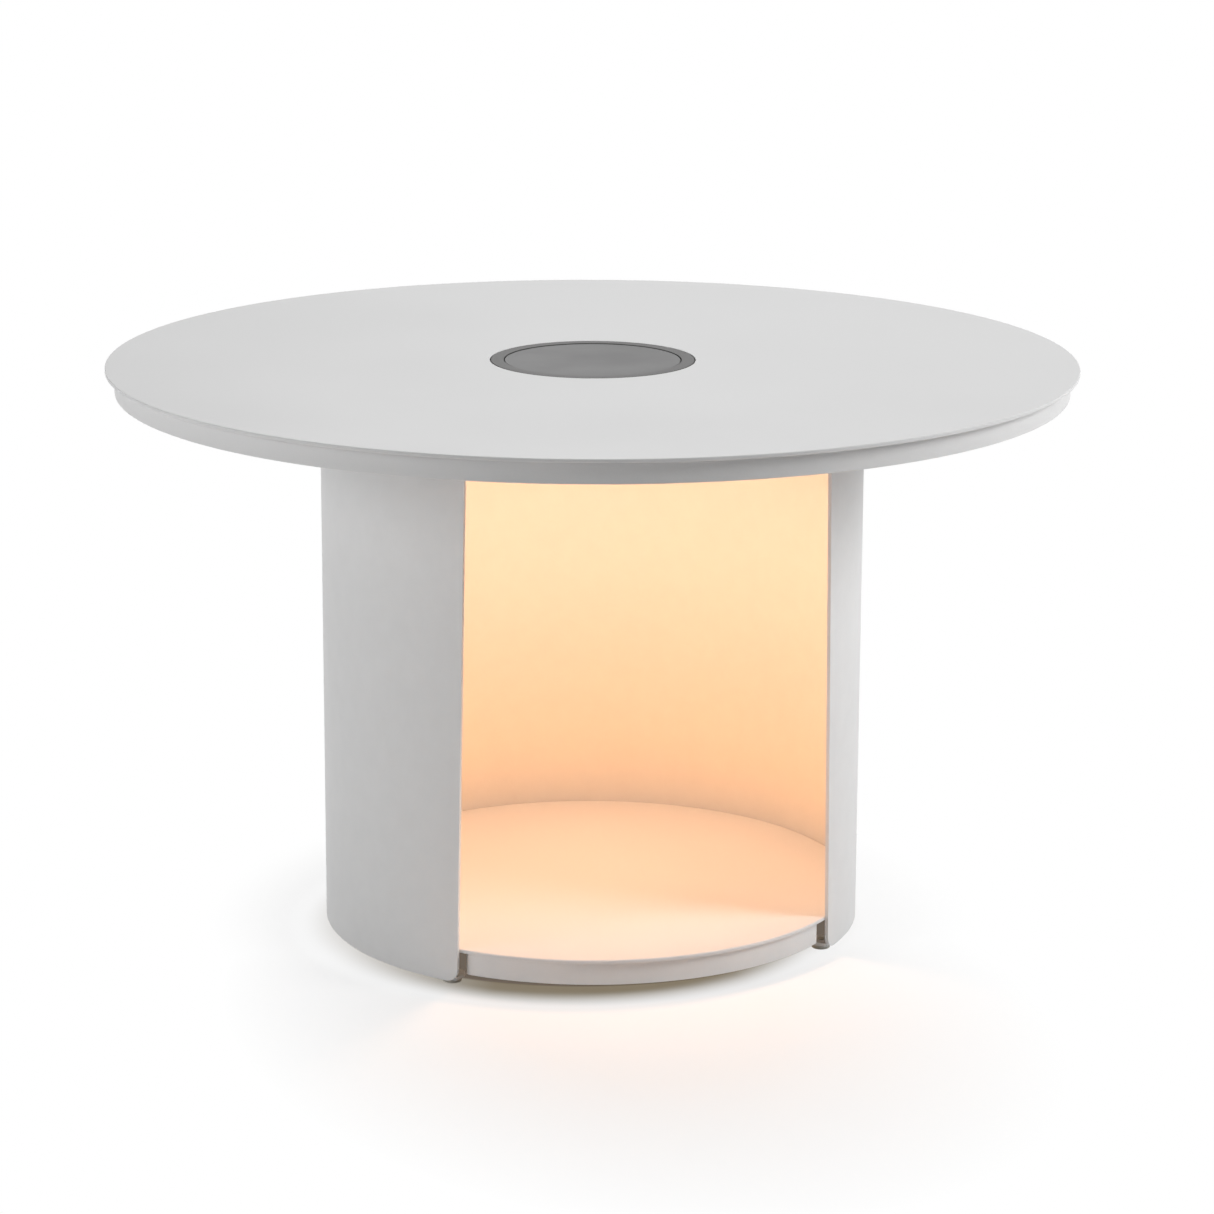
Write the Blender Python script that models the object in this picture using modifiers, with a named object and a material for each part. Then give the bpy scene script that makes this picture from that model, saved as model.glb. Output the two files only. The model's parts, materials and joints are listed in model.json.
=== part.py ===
"""Round low table of coated sheet metal with a lift-out solar lamp in its top.

A thin disc with an inset skirt stands on a C-shaped drum that is open on one side.
The lamp hangs flush in the middle of the disc and lights the niche inside the drum.
Units are metres and +Z is up. The opening faces -Y, the glides stand on z = 0 and the
lamp's axis is the Z axis. Angles are degrees around that axis, counted from -Y to +X.
"""

import math

import bmesh
import bpy
from mathutils import Vector

# Fits and fineness of the facets
seat_gap = 0.0003
running_gap = 0.0007
cut_overrun = 0.001
merge_distance = 0.00001
top_sides = 96
drum_sides = 72
lamp_sides = 40
small_sides = 12
tiny_sides = 8
corner_steps = 4
wall_facet_angle = 3.0
sharp_angle = 35.0

# Table top
table_height = 0.478
top_diameter = 0.800
top_sheet = 0.003
top_edge_radius = 0.0008
skirt_inset = 0.0076
skirt_sheet = 0.003
skirt_depth = 0.0175
skirt_lip_radius = 0.0008

# Stiffening ribs under the overhang
rib_count = 6
rib_sheet = 0.003
rib_inner_depth = 0.0155
rib_outer_depth = 0.0105
rib_nose_radius = 0.006

# Drum wall and its opening
drum_diameter = 0.450
wall_sheet = 0.003
opening_top_angle = 84.3
opening_bottom_angle = 89.2
wall_corner_radius = 0.010

# Ring in the head of the drum, with its weld studs and nuts
flange_sheet = 0.003
flange_width = 0.030
stud_count = 6
stud_first_angle = 30.0
stud_inset = 0.015
stud_diameter = 0.006
stud_reach = 0.0028
stud_chamfer = 0.0006
nut_height = 0.005
nut_width = 0.010

# Floor of the niche
floor_height = 0.0275
floor_sheet = 0.003
floor_edge_radius = 0.0006
band_inset = 0.0042
band_sheet = 0.002
band_height = 0.0190
band_end_gap = 0.0022
band_return = 0.012
band_bend_radius = 0.0045
ledge_count = 3
ledge_first_angle = 80.0
ledge_last_angle = 280.0
ledge_width = 0.030
ledge_reach = 0.018
ledge_drop = 0.014
ledge_sheet = 0.0025

# Feet
foot_back_angle = 140.0
tab_length = 0.020
tab_width = 0.019
tab_sheet = 0.003
tab_corner_radius = 0.008
tab_edge_gap = 0.0026
glide_diameter = 0.0155
glide_height = 0.004
glide_edge_radius = 0.0010
glide_wall_offset = 0.0010
glide_spigot_diameter = 0.005
glide_spigot_proud = 0.001

# Seat ring for the lamp
seat_sheet = 0.002
seat_flange_width = 0.016
seat_ledge_width = 0.0084

# Lamp: bezel, glass and seal
bezel_diameter = 0.1684
bezel_thickness = 0.003
bezel_edge_radius = 0.0006
bezel_face_width = 0.0112
bezel_rim_width = 0.0087
spigot_depth = 0.006
shelf_width = 0.0045
shelf_thickness = 0.0025
glass_thickness = 0.003
glass_drop = 0.0005
glass_edge = 0.0004
cell_thickness = 0.0015
gasket_thickness = 0.001
gasket_margin = 0.0006
pillar_diameter = 0.0072
pillar_inset = 0.0018
pillar_count = 4
pillar_first_angle = 45.0

# Lamp housing, a moulded cup
housing_wall = 0.0025
housing_draft = 0.0014
housing_corner_radius = 0.004
tongue_height = 0.0022
tongue_sheet = 0.0012
shield_sheet = 0.0020
boss_height = 0.009
web_sheet = 0.0016
post_diameter = 0.005
pin_diameter = 0.0022
pin_proud = 0.001
screw_diameter = 0.003
screw_head_diameter = 0.0058
screw_head_height = 0.0018
screw_bite = 0.010

# Light unit
diffuser_wall = 0.0018
diffuser_flange = 0.004
diffuser_bulge = 0.0045
seal_thickness = 0.0008
light_gap = 0.0048
board_sheet = 0.0016
chip_count = 12
chip_inset = 0.0177
chip_size = 0.0035
chip_height = 0.0012

# Power unit: the tray's corners stay this far inside its posts, and the cells fill the tray
wiring_space = 0.0045
ear_reach = 0.0080
tray_diagonal_angle = 39.8
battery_count = 3
battery_shoulder = 0.0012
battery_cap_diameter = 0.0060
battery_cap_height = 0.0012
tray_sheet = 0.0018
tray_wall_height = 0.0075
ear_diameter = 0.009
contact_sheet = 0.0005
contact_lip = 0.004

# Control unit and its leads
control_wall_gap = 0.0039
control_tray_gap = 0.0077
control_corner_radius = 0.003
control_post_inset = 0.006
part_height_large = 0.004
part_height_small = 0.0025
part_length_large = 0.012
part_length_small = 0.007
part_inset = 0.010
lead_diameter = 0.002

# Switch
button_diameter = 0.012
button_proud = 0.0012
button_flange_width = 0.0014
button_flange_sheet = 0.0012
button_edge_radius = 0.0008
button_stem_diameter = 0.0028
button_travel = 0.0015
button_wall_margin = 0.0040
button_shield_gap = 0.0008
switch_size = 0.0062
switch_height = 0.0036

# Worked out from the sizes above: the table
top_radius = top_diameter / 2
top_under = table_height - top_sheet
skirt_radius = top_radius - skirt_inset
drum_radius = drum_diameter / 2
wall_low = glide_height
wall_high = top_under - seat_gap
wall_bore = drum_radius * math.cos(math.radians(wall_facet_angle / 2)) - wall_sheet
fit_radius = wall_bore - seat_gap
floor_top = wall_low + floor_height
floor_under = floor_top - floor_sheet
band_radius = fit_radius - band_inset
flange_mid = wall_high - flange_sheet / 2
stud_circle = fit_radius - stud_inset
nut_top = wall_high - flange_sheet - seat_gap

# Worked out: the lamp's radii
bezel_radius = bezel_diameter / 2
hole_radius = bezel_radius + running_gap
glass_bore = bezel_radius - bezel_face_width
glass_radius = glass_bore - seat_gap
shelf_inner = glass_bore - shelf_width
cell_radius = shelf_inner - seat_gap
spigot_radius = bezel_radius - bezel_rim_width
seat_bore = spigot_radius + running_gap
housing_rim = spigot_radius - seat_gap
housing_foot = housing_rim - housing_draft
housing_inner_foot = housing_foot - housing_wall
pillar_circle = shelf_inner - pillar_inset
pillar_radius = pillar_diameter / 2
screw_radius = screw_diameter / 2
screw_head_radius = screw_head_diameter / 2
button_radius = button_diameter / 2
button_flange_radius = button_radius + button_flange_width
button_place = housing_inner_foot - button_wall_margin - button_flange_radius
board_radius = button_place - button_flange_radius - button_shield_gap
shield_inner = board_radius - shield_sheet
diffuser_rim = shield_inner - running_gap
diffuser_hole = diffuser_rim - diffuser_flange
diffuser_radius = diffuser_hole - running_gap
chip_circle = shield_inner - chip_inset
post_radius = post_diameter / 2
pin_radius = pin_diameter / 2

# Worked out: the battery tray and the cells that fill it
ear_circle = board_radius + running_gap + post_radius
tray_corner = ear_circle - ear_reach
tray_length = 2 * tray_corner * math.cos(math.radians(tray_diagonal_angle))
tray_width = 2 * tray_corner * math.sin(math.radians(tray_diagonal_angle))
tray_inner_length = tray_length - 2 * tray_sheet
tray_inner_width = tray_width - 2 * tray_sheet
battery_diameter = (tray_inner_width - seat_gap) / battery_count - seat_gap
battery_length = tray_inner_length - battery_cap_height - 2 * (contact_sheet + 2 * seat_gap)

# Worked out: heights in the lamp, counted from the face of the table top
lamp_origin = table_height
bezel_under = -bezel_thickness
glass_top = -glass_drop
glass_under = glass_top - glass_thickness
shelf_top = glass_under - seat_gap
shelf_under = shelf_top - shelf_thickness
cell_under = shelf_top - cell_thickness
spigot_under = bezel_under - spigot_depth
gasket_top = bezel_under - seat_gap
gasket_under = gasket_top - gasket_thickness
ledge_top = gasket_under - seat_gap
rim_top = spigot_under - seat_gap
battery_axis = cell_under - wiring_space - battery_diameter / 2
tray_floor = battery_axis - battery_diameter / 2 - seat_gap
tray_under = tray_floor - tray_sheet
board_top = tray_under - seat_gap
board_under = board_top - board_sheet
shield_top = board_under - seat_gap
housing_floor = shield_top - light_gap
housing_under = housing_floor - housing_wall
boss_top = housing_floor + boss_height
pillar_top = cell_under - seat_gap
pillar_under = boss_top + seat_gap
head_seat = housing_under + screw_head_height + seat_gap
screw_top = pillar_under + screw_bite
seal_under = housing_floor + seat_gap
diffuser_seat = seal_under + seal_thickness + seat_gap

# Worked out: the control unit and the switch
button_flange_top = housing_floor + seat_gap + button_flange_sheet
switch_under = button_flange_top + button_travel + running_gap
control_under = switch_under + switch_height + seat_gap
control_top = control_under + board_sheet
control_outer = button_place + switch_size / 2 + running_gap
control_width = control_outer - tray_width / 2 - control_tray_gap
control_mid = control_outer - control_width / 2
control_length = 2 * math.sqrt((housing_inner_foot - control_wall_gap) ** 2 - control_outer ** 2)
control_post = ear_circle + seat_gap


def clear_scene():
    """Remove what the new file starts with."""
    for ob in list(bpy.data.objects):
        bpy.data.objects.remove(ob, do_unlink=True)


def new_collection(name):
    """Collection under the scene."""
    collection = bpy.data.collections.new(name)
    bpy.context.scene.collection.children.link(collection)
    return collection


def new_material(name, colour, roughness, metallic):
    """Principled material with a colour, a roughness and a metallic value."""
    material = bpy.data.materials.new(name)
    material.use_nodes = True
    shader = material.node_tree.nodes["Principled BSDF"]
    shader.inputs["Base Color"].default_value = (*colour, 1)
    shader.inputs["Roughness"].default_value = roughness
    shader.inputs["Metallic"].default_value = metallic
    material.diffuse_color = (*colour, 1)
    return material


def polar(radius, angle):
    """Plan position at a radius and an angle counted from the front."""
    turn = math.radians(angle)
    return radius * math.sin(turn), -radius * math.cos(turn)


def ring_of(count, first=0.0):
    """Angles of evenly spaced places round a full turn."""
    return [first + 360 * index / count for index in range(count)]


def circle(centre, radius, sides):
    """Round outline."""
    turns = [2 * math.pi * index / sides for index in range(sides)]
    return [(centre[0] + radius * math.cos(turn), centre[1] + radius * math.sin(turn)) for turn in turns]


def arc(centre, radius, start, end, steps):
    """Points along an arc, from one angle in degrees to another."""
    points = []
    for step in range(steps + 1):
        turn = math.radians(start + (end - start) * step / steps)
        points.append((centre[0] + radius * math.cos(turn), centre[1] + radius * math.sin(turn)))
    return points


def filleted(corners):
    """Outline through corners given as x, y and the radius of the arc there."""
    points = []
    for index, (x, y, radius) in enumerate(corners):
        corner = Vector((x, y))
        before = (Vector(corners[index - 1][:2]) - corner).normalized()
        after = (Vector(corners[(index + 1) % len(corners)][:2]) - corner).normalized()
        if radius == 0:
            points.append((x, y))
            continue
        half = before.angle(after) / 2
        centre = corner + (before + after).normalized() * (radius / math.sin(half))
        start = corner + before * (radius / math.tan(half)) - centre
        end = corner + after * (radius / math.tan(half)) - centre
        for step in range(corner_steps + 1):
            spoke = start.lerp(end, step / corner_steps).normalized() * radius
            points.append(tuple(centre + spoke))
    return points


def rounded_rectangle(length, width, radius, centre=(0, 0)):
    """Rectangle with round corners."""
    half_length, half_width = length / 2, width / 2
    signs = [(-1, -1), (1, -1), (1, 1), (-1, 1)]
    return filleted([(centre[0] + a * half_length, centre[1] + b * half_width, radius) for a, b in signs])


def add_object(name, data, material=None, parent=None):
    """Object in the parts collection, or in the cutters collection where it has no material."""
    ob = bpy.data.objects.new(name, data)
    if material is None:
        cutters.objects.link(ob)
        ob.hide_render = True
        ob.display_type = "WIRE"
    else:
        parts.objects.link(ob)
        data.materials.append(material)
    if parent is not None:
        ob.parent = parent
    return ob


def settle(ob):
    """Make the modifiers' result the object's own mesh, welded and smooth between its edges."""
    bpy.context.view_layer.update()
    depsgraph = bpy.context.evaluated_depsgraph_get()
    mesh = bpy.data.meshes.new_from_object(ob.evaluated_get(depsgraph))
    ob.modifiers.clear()
    shape = bmesh.new()
    shape.from_mesh(mesh)
    bmesh.ops.remove_doubles(shape, verts=shape.verts, dist=merge_distance)
    shape.to_mesh(mesh)
    shape.free()
    mesh.shade_smooth()
    mesh.set_sharp_from_angle(angle=math.radians(sharp_angle))
    mesh.name = ob.name
    ob.data = mesh
    return ob


def turned(name, profile, sides, material=None, parent=None, closed=True):
    """Body turned from an outline of radius and height, which runs down its outer side."""
    mesh = bpy.data.meshes.new(name)
    edges = [(index, index + 1) for index in range(len(profile) - 1)]
    if closed:
        edges.append((len(profile) - 1, 0))
    mesh.from_pydata([(radius, 0, height) for radius, height in profile], edges, [])
    ob = add_object(name, mesh, material, parent)
    screw = ob.modifiers.new("turn", "SCREW")
    screw.axis = "Z"
    screw.angle = 2 * math.pi
    screw.steps = sides
    screw.render_steps = sides
    screw.use_merge_vertices = True
    screw.merge_threshold = merge_distance
    return settle(ob)


def flat(name, outlines, thickness, material=None, parent=None):
    """Sheet centred on z = 0. The first outline is its edge and the others are holes."""
    curve = bpy.data.curves.new(name + "_outline", "CURVE")
    curve.dimensions = "2D"
    curve.fill_mode = "BOTH"
    curve.extrude = thickness / 2
    for outline in outlines:
        spline = curve.splines.new("POLY")
        spline.points.add(len(outline) - 1)
        for point, (x, y) in zip(spline.points, outline):
            point.co = (x, y, 0, 1)
        spline.use_cyclic_u = True
    return from_curve(name, curve, material, parent)


def tube(name, route, diameter, material, parent=None):
    """Round lead along a route of points, with closed ends."""
    curve = bpy.data.curves.new(name + "_route", "CURVE")
    curve.dimensions = "3D"
    curve.bevel_depth = diameter / 2
    curve.bevel_resolution = 1
    curve.use_fill_caps = True
    spline = curve.splines.new("POLY")
    spline.points.add(len(route) - 1)
    for point, place in zip(spline.points, route):
        point.co = (*place, 1)
    return from_curve(name, curve, material, parent)


def from_curve(name, curve, material, parent):
    """Mesh object made from a curve, with its caps welded on."""
    drawn = bpy.data.objects.new(name + "_curve", curve)
    parts.objects.link(drawn)
    bpy.context.view_layer.update()
    depsgraph = bpy.context.evaluated_depsgraph_get()
    mesh = bpy.data.meshes.new_from_object(drawn.evaluated_get(depsgraph))
    mesh.name = name
    bpy.data.objects.remove(drawn, do_unlink=True)
    return settle(add_object(name, mesh, material, parent))


def folded(name, path, height, sheet, material, parent=None):
    """Strip of sheet on a path in plan, from z = 0 up to a height, thickened to the path's left."""
    shape = bmesh.new()
    low = [shape.verts.new((x, y, 0)) for x, y in path]
    high = [shape.verts.new((x, y, height)) for x, y in path]
    for index in range(len(path) - 1):
        shape.faces.new((low[index], low[index + 1], high[index + 1], high[index]))
    mesh = bpy.data.meshes.new(name)
    shape.to_mesh(mesh)
    shape.free()
    ob = add_object(name, mesh, material, parent)
    return thickened(ob, sheet)


def thickened(ob, sheet):
    """Give an open surface its thickness, behind the side that it faces."""
    solidify = ob.modifiers.new("sheet", "SOLIDIFY")
    solidify.thickness = sheet
    solidify.offset = -1
    solidify.use_even_offset = True
    return settle(ob)


def rods(name, places, radius, low, high, sides, material=None, parent=None):
    """Upright round rods at plan places, in one mesh."""
    shape = bmesh.new()
    for x, y in places:
        made = bmesh.ops.create_cone(
            shape, cap_ends=True, segments=sides, radius1=radius, radius2=radius, depth=high - low
        )
        bmesh.ops.translate(shape, verts=made["verts"], vec=(x, y, (low + high) / 2))
    mesh = bpy.data.meshes.new(name)
    shape.to_mesh(mesh)
    shape.free()
    return add_object(name, mesh, material, parent)


def blocks(name, corners, material=None, parent=None):
    """Boxes given by their centre and size, in one mesh."""
    shape = bmesh.new()
    for centre, size in corners:
        made = bmesh.ops.create_cube(shape, size=1)
        bmesh.ops.scale(shape, verts=made["verts"], vec=size)
        bmesh.ops.translate(shape, verts=made["verts"], vec=centre)
    mesh = bpy.data.meshes.new(name)
    shape.to_mesh(mesh)
    shape.free()
    return add_object(name, mesh, material, parent)


def combine(ob, other, operation):
    """Join another shape to an object, or cut it out."""
    boolean = ob.modifiers.new(operation.lower(), "BOOLEAN")
    boolean.operation = operation
    boolean.solver = "EXACT"
    boolean.object = other


def join(ob, *others):
    """Fuse shapes into an object."""
    for other in others:
        combine(ob, other, "UNION")


def cut(ob, *others):
    """Cut shapes out of an object."""
    for other in others:
        combine(ob, other, "DIFFERENCE")


def top_plate():
    """Disc with softened edges and the lamp's hole."""
    edge = top_edge_radius
    upper = arc((top_radius - edge, table_height - edge), edge, 90, 0, 2)
    profile = [(hole_radius, top_under), (hole_radius, table_height)] + upper
    profile += [(top_radius, top_under + edge), (top_radius - edge, top_under)]
    turned("top_plate", profile, top_sides, coated)


def top_skirt():
    """Rolled ring set back under the disc's edge."""
    high = top_under - seat_gap
    low = high - skirt_depth
    inner = skirt_radius - skirt_sheet
    profile = [(inner, low), (inner, high), (skirt_radius, high)]
    profile += [(skirt_radius, low + skirt_lip_radius), (skirt_radius - skirt_lip_radius, low)]
    turned("top_skirt", profile, top_sides, coated)


def top_ribs():
    """Upright stiffeners between the drum and the skirt, shallower towards the skirt."""
    inner = drum_radius + running_gap
    outer = (skirt_radius - skirt_sheet) * math.cos(math.pi / top_sides) - seat_gap
    high = top_under - seat_gap
    outline = filleted([
        (inner, high - rib_inner_depth, rib_nose_radius),
        (outer, high - rib_outer_depth, rib_nose_radius),
        (outer, high, 0),
        (inner, high, 0),
    ])
    for index, angle in enumerate(ring_of(rib_count)):
        rib = flat(f"top_rib_{index + 1}", [outline], rib_sheet, coated)
        rib.rotation_euler = (math.pi / 2, 0, math.radians(angle - 90))


def edge_angle(height):
    """Half angle of the opening at a height: it narrows towards the top."""
    share = (height - wall_low) / (wall_high - wall_low)
    return (opening_bottom_angle + (opening_top_angle - opening_bottom_angle) * share) / 2


def wall_columns():
    """Lower and upper end of each column on one side, from the opening's edge to its plain part."""
    columns = []
    plain = edge_angle(wall_low) + math.degrees(wall_corner_radius / drum_radius) + wall_facet_angle / 2
    for step in range(2 * corner_steps + 1):
        turn = math.pi / 2 * step / (2 * corner_steps)
        along = math.degrees(wall_corner_radius * (1 - math.cos(turn)) / drum_radius)
        height = wall_low + wall_corner_radius * (1 - math.sin(turn))
        low_angle = edge_angle(height) + along
        share = (low_angle - edge_angle(wall_low)) / (plain - edge_angle(wall_low))
        high_angle = edge_angle(wall_high) + (plain - edge_angle(wall_high)) * max(share, 0)
        columns.append((low_angle, height, high_angle))
    columns[0] = (columns[0][0], columns[0][1], edge_angle(wall_high))
    count = math.ceil((360 - 2 * plain) / wall_facet_angle)
    for step in range(count + 1):
        angle = plain + (360 - 2 * plain) * step / count
        columns.append((angle, wall_low, angle))
    for low_angle, height, high_angle in columns[2 * corner_steps::-1]:
        columns.append((360 - low_angle, height, 360 - high_angle))
    return columns


def drum_wall():
    """C-shaped sheet with leaning edges and rounded lower corners, lofted from bottom to top."""
    shape = bmesh.new()
    low, high = [], []
    for low_angle, height, high_angle in wall_columns():
        low.append(shape.verts.new((*polar(drum_radius, low_angle), height)))
        high.append(shape.verts.new((*polar(drum_radius, high_angle), wall_high)))
    for index in range(len(low) - 1):
        shape.faces.new((low[index], low[index + 1], high[index + 1], high[index]))
    mesh = bpy.data.meshes.new("drum_wall")
    shape.to_mesh(mesh)
    shape.free()
    thickened(add_object("drum_wall", mesh, coated), wall_sheet)


def drum_flange():
    """Ring in the head of the drum, held by nuts on studs under the top."""
    places = [polar(stud_circle, angle) for angle in ring_of(stud_count, stud_first_angle)]
    rims = (fit_radius, fit_radius - flange_width)
    outlines = [circle((0, 0), rim, drum_sides) for rim in rims]
    outlines += [circle(place, stud_diameter / 2 + running_gap, tiny_sides) for place in places]
    ring = flat("drum_flange", outlines, flange_sheet, coated)
    ring.location.z = flange_mid
    radius = stud_diameter / 2
    reach = flange_sheet + seat_gap + nut_height + stud_reach
    stud = [(0, 0), (radius, 0), (radius, stud_chamfer - reach), (radius - stud_chamfer, -reach), (0, -reach)]
    for index, place in enumerate(places):
        bolt = turned(f"flange_stud_{index + 1}", stud, tiny_sides, steel, closed=False)
        bolt.location = (*place, wall_high)
        hexagon = circle((0, 0), nut_width / math.sqrt(3), 6)
        bore = circle((0, 0), radius + seat_gap, tiny_sides)
        nut = flat(f"flange_nut_{index + 1}", [hexagon, bore], nut_height, steel)
        nut.location = (*place, nut_top - nut_height / 2)
        nut.rotation_euler.z = math.radians(stud_first_angle * index)


def floor_plate():
    """Floor of the niche, a disc that fills the drum."""
    edge = floor_edge_radius
    profile = [(0, floor_top), (fit_radius - edge, floor_top), (fit_radius, floor_top - edge)]
    profile += [(fit_radius, floor_under), (0, floor_under)]
    turned("floor_plate", profile, drum_sides, coated, closed=False)


def floor_band():
    """Apron under the floor's front edge, with its ends folded inwards."""
    half = edge_angle(floor_under) - math.degrees(band_end_gap / band_radius)
    bend = math.degrees(band_bend_radius / band_radius)
    steps = math.ceil(2 * half / wall_facet_angle)
    path = []
    for step in range(steps + 1):
        angle = (half - bend) * (2 * step / steps - 1)
        path.append(polar(band_radius, angle))
    end = [polar(band_radius - band_return, half), polar(band_radius - band_bend_radius, half)]
    start = [(-x, y) for x, y in end]
    soft = polar(band_radius - band_bend_radius * (1 - math.sqrt(0.5)), half - bend * (1 - math.sqrt(0.5)))
    path = [*start, (-soft[0], soft[1]), *path, soft, *end[::-1]]
    band = folded("floor_band", path, band_height, band_sheet, coated)
    band.location.z = floor_under - seat_gap - band_height


def floor_ledges():
    """Angle brackets on the wall that carry the floor plate."""
    high = floor_under - seat_gap
    back = math.sqrt(wall_bore ** 2 - (ledge_width / 2) ** 2) - seat_gap
    path = [(high, back - ledge_reach), (high, back), (high - ledge_drop, back)]
    for index in range(ledge_count):
        share = index / (ledge_count - 1)
        turn = math.radians(ledge_first_angle + (ledge_last_angle - ledge_first_angle) * share)
        ledge = folded(f"floor_ledge_{index + 1}", path, ledge_width, ledge_sheet, coated)
        ledge.location = (-ledge_width / 2 * math.cos(turn), -ledge_width / 2 * math.sin(turn), 0)
        ledge.rotation_euler = (0, -math.pi / 2, math.pi + turn)


def feet():
    """Flat tabs at the wall's lower edge, each with a glide whose spigot passes through it."""
    half = edge_angle(wall_low) + math.degrees((tab_length / 2 + tab_edge_gap) / drum_radius)
    reach = math.degrees(tab_length / 2 / fit_radius)
    inner = fit_radius - tab_width
    glide_circle = fit_radius - glide_wall_offset - glide_diameter / 2
    edge = arc((0, 0), fit_radius, -90 - reach, -90 + reach, 2 * corner_steps)
    corner = inner * math.sin(math.radians(reach))
    inside = filleted([
        (edge[-1][0], edge[-1][1], 0), (corner, -inner, tab_corner_radius),
        (-corner, -inner, tab_corner_radius), (edge[0][0], edge[0][1], 0),
    ])[1:-1]
    radius = glide_spigot_diameter / 2
    hole = circle((0, -glide_circle), radius + seat_gap, tiny_sides)
    soft = glide_edge_radius
    pad = glide_diameter / 2
    top = wall_low - seat_gap
    tip = wall_low + tab_sheet + glide_spigot_proud
    glide = [(0, tip), (radius, tip), (radius, top), (pad, top), (pad, soft), (pad - soft, 0), (0, 0)]
    for index, angle in enumerate([-half, half, foot_back_angle, -foot_back_angle]):
        tab = flat(f"foot_tab_{index + 1}", [edge + inside, hole], tab_sheet, coated)
        tab.location.z = wall_low + tab_sheet / 2
        tab.rotation_euler.z = math.radians(angle)
        foot = turned(f"glide_{index + 1}", glide, small_sides, glide_plastic, closed=False)
        foot.location = (*polar(glide_circle, angle), 0)


def lamp_seat():
    """Stepped ring under the hole, on which the lamp rests."""
    under = top_under - seat_gap
    ledge = lamp_origin + ledge_top
    outer = hole_radius + seat_flange_width
    step = seat_bore + seat_ledge_width
    profile = [
        (seat_bore, ledge - seat_sheet), (seat_bore, ledge), (step, ledge), (step, under), (outer, under),
        (outer, under - seat_sheet), (step + seat_sheet, under - seat_sheet),
        (step + seat_sheet, ledge - seat_sheet),
    ]
    turned("lamp_seat", profile, lamp_sides, coated)


def lamp_bezel(lamp):
    """Flush ring that holds the glass, with a spigot and four screw pillars under it."""
    edge = bezel_edge_radius
    profile = [
        (glass_bore, shelf_top), (glass_bore, 0), (bezel_radius - edge, 0), (bezel_radius, -edge),
        (bezel_radius, bezel_under), (spigot_radius, bezel_under), (spigot_radius, spigot_under),
        (glass_bore, spigot_under), (glass_bore, shelf_under), (shelf_inner, shelf_under),
        (shelf_inner, shelf_top),
    ]
    bezel = turned("lamp_bezel", profile, lamp_sides, dark_plastic, lamp)
    places = [polar(pillar_circle, angle) for angle in ring_of(pillar_count, pillar_first_angle)]
    join(bezel, rods("pillars", places, pillar_radius, pillar_under, pillar_top, small_sides, parent=lamp))
    bores = rods(
        "pillar_bores", places, screw_radius + seat_gap, pillar_under - cut_overrun, screw_top + cut_overrun,
        tiny_sides, parent=lamp,
    )
    cut(bezel, bores)
    settle(bezel)


def solar_panel(lamp):
    """Etched glass disc, and the cell laminate under it."""
    edge = glass_edge
    glass = [(0, glass_top), (glass_radius - edge, glass_top), (glass_radius, glass_top - edge)]
    glass += [(glass_radius, glass_under), (0, glass_under)]
    turned("solar_glass", glass, lamp_sides, etched_glass, lamp, closed=False)
    cell = [(0, shelf_top), (cell_radius, shelf_top), (cell_radius, cell_under), (0, cell_under)]
    turned("solar_cell", cell, lamp_sides, cell_blue, lamp, closed=False)


def lamp_gasket(lamp):
    """Flat seal between the bezel and its seat."""
    inner = seat_bore + gasket_margin
    outer = bezel_radius - gasket_margin
    profile = [(inner, gasket_under), (inner, gasket_top), (outer, gasket_top), (outer, gasket_under)]
    turned("lamp_gasket", profile, lamp_sides, seal_rubber, lamp)


def post_places():
    """Plan places of the posts under the battery tray and under the control board."""
    tray = [polar(ear_circle, side * (90 - tray_diagonal_angle)) for side in (-1, 1)]
    tray += [(x, -y) for x, y in tray]
    spread = control_length / 2 - control_post_inset
    control = [(side * spread, -control_post) for side in (-1, 1)]
    return tray, control


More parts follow.
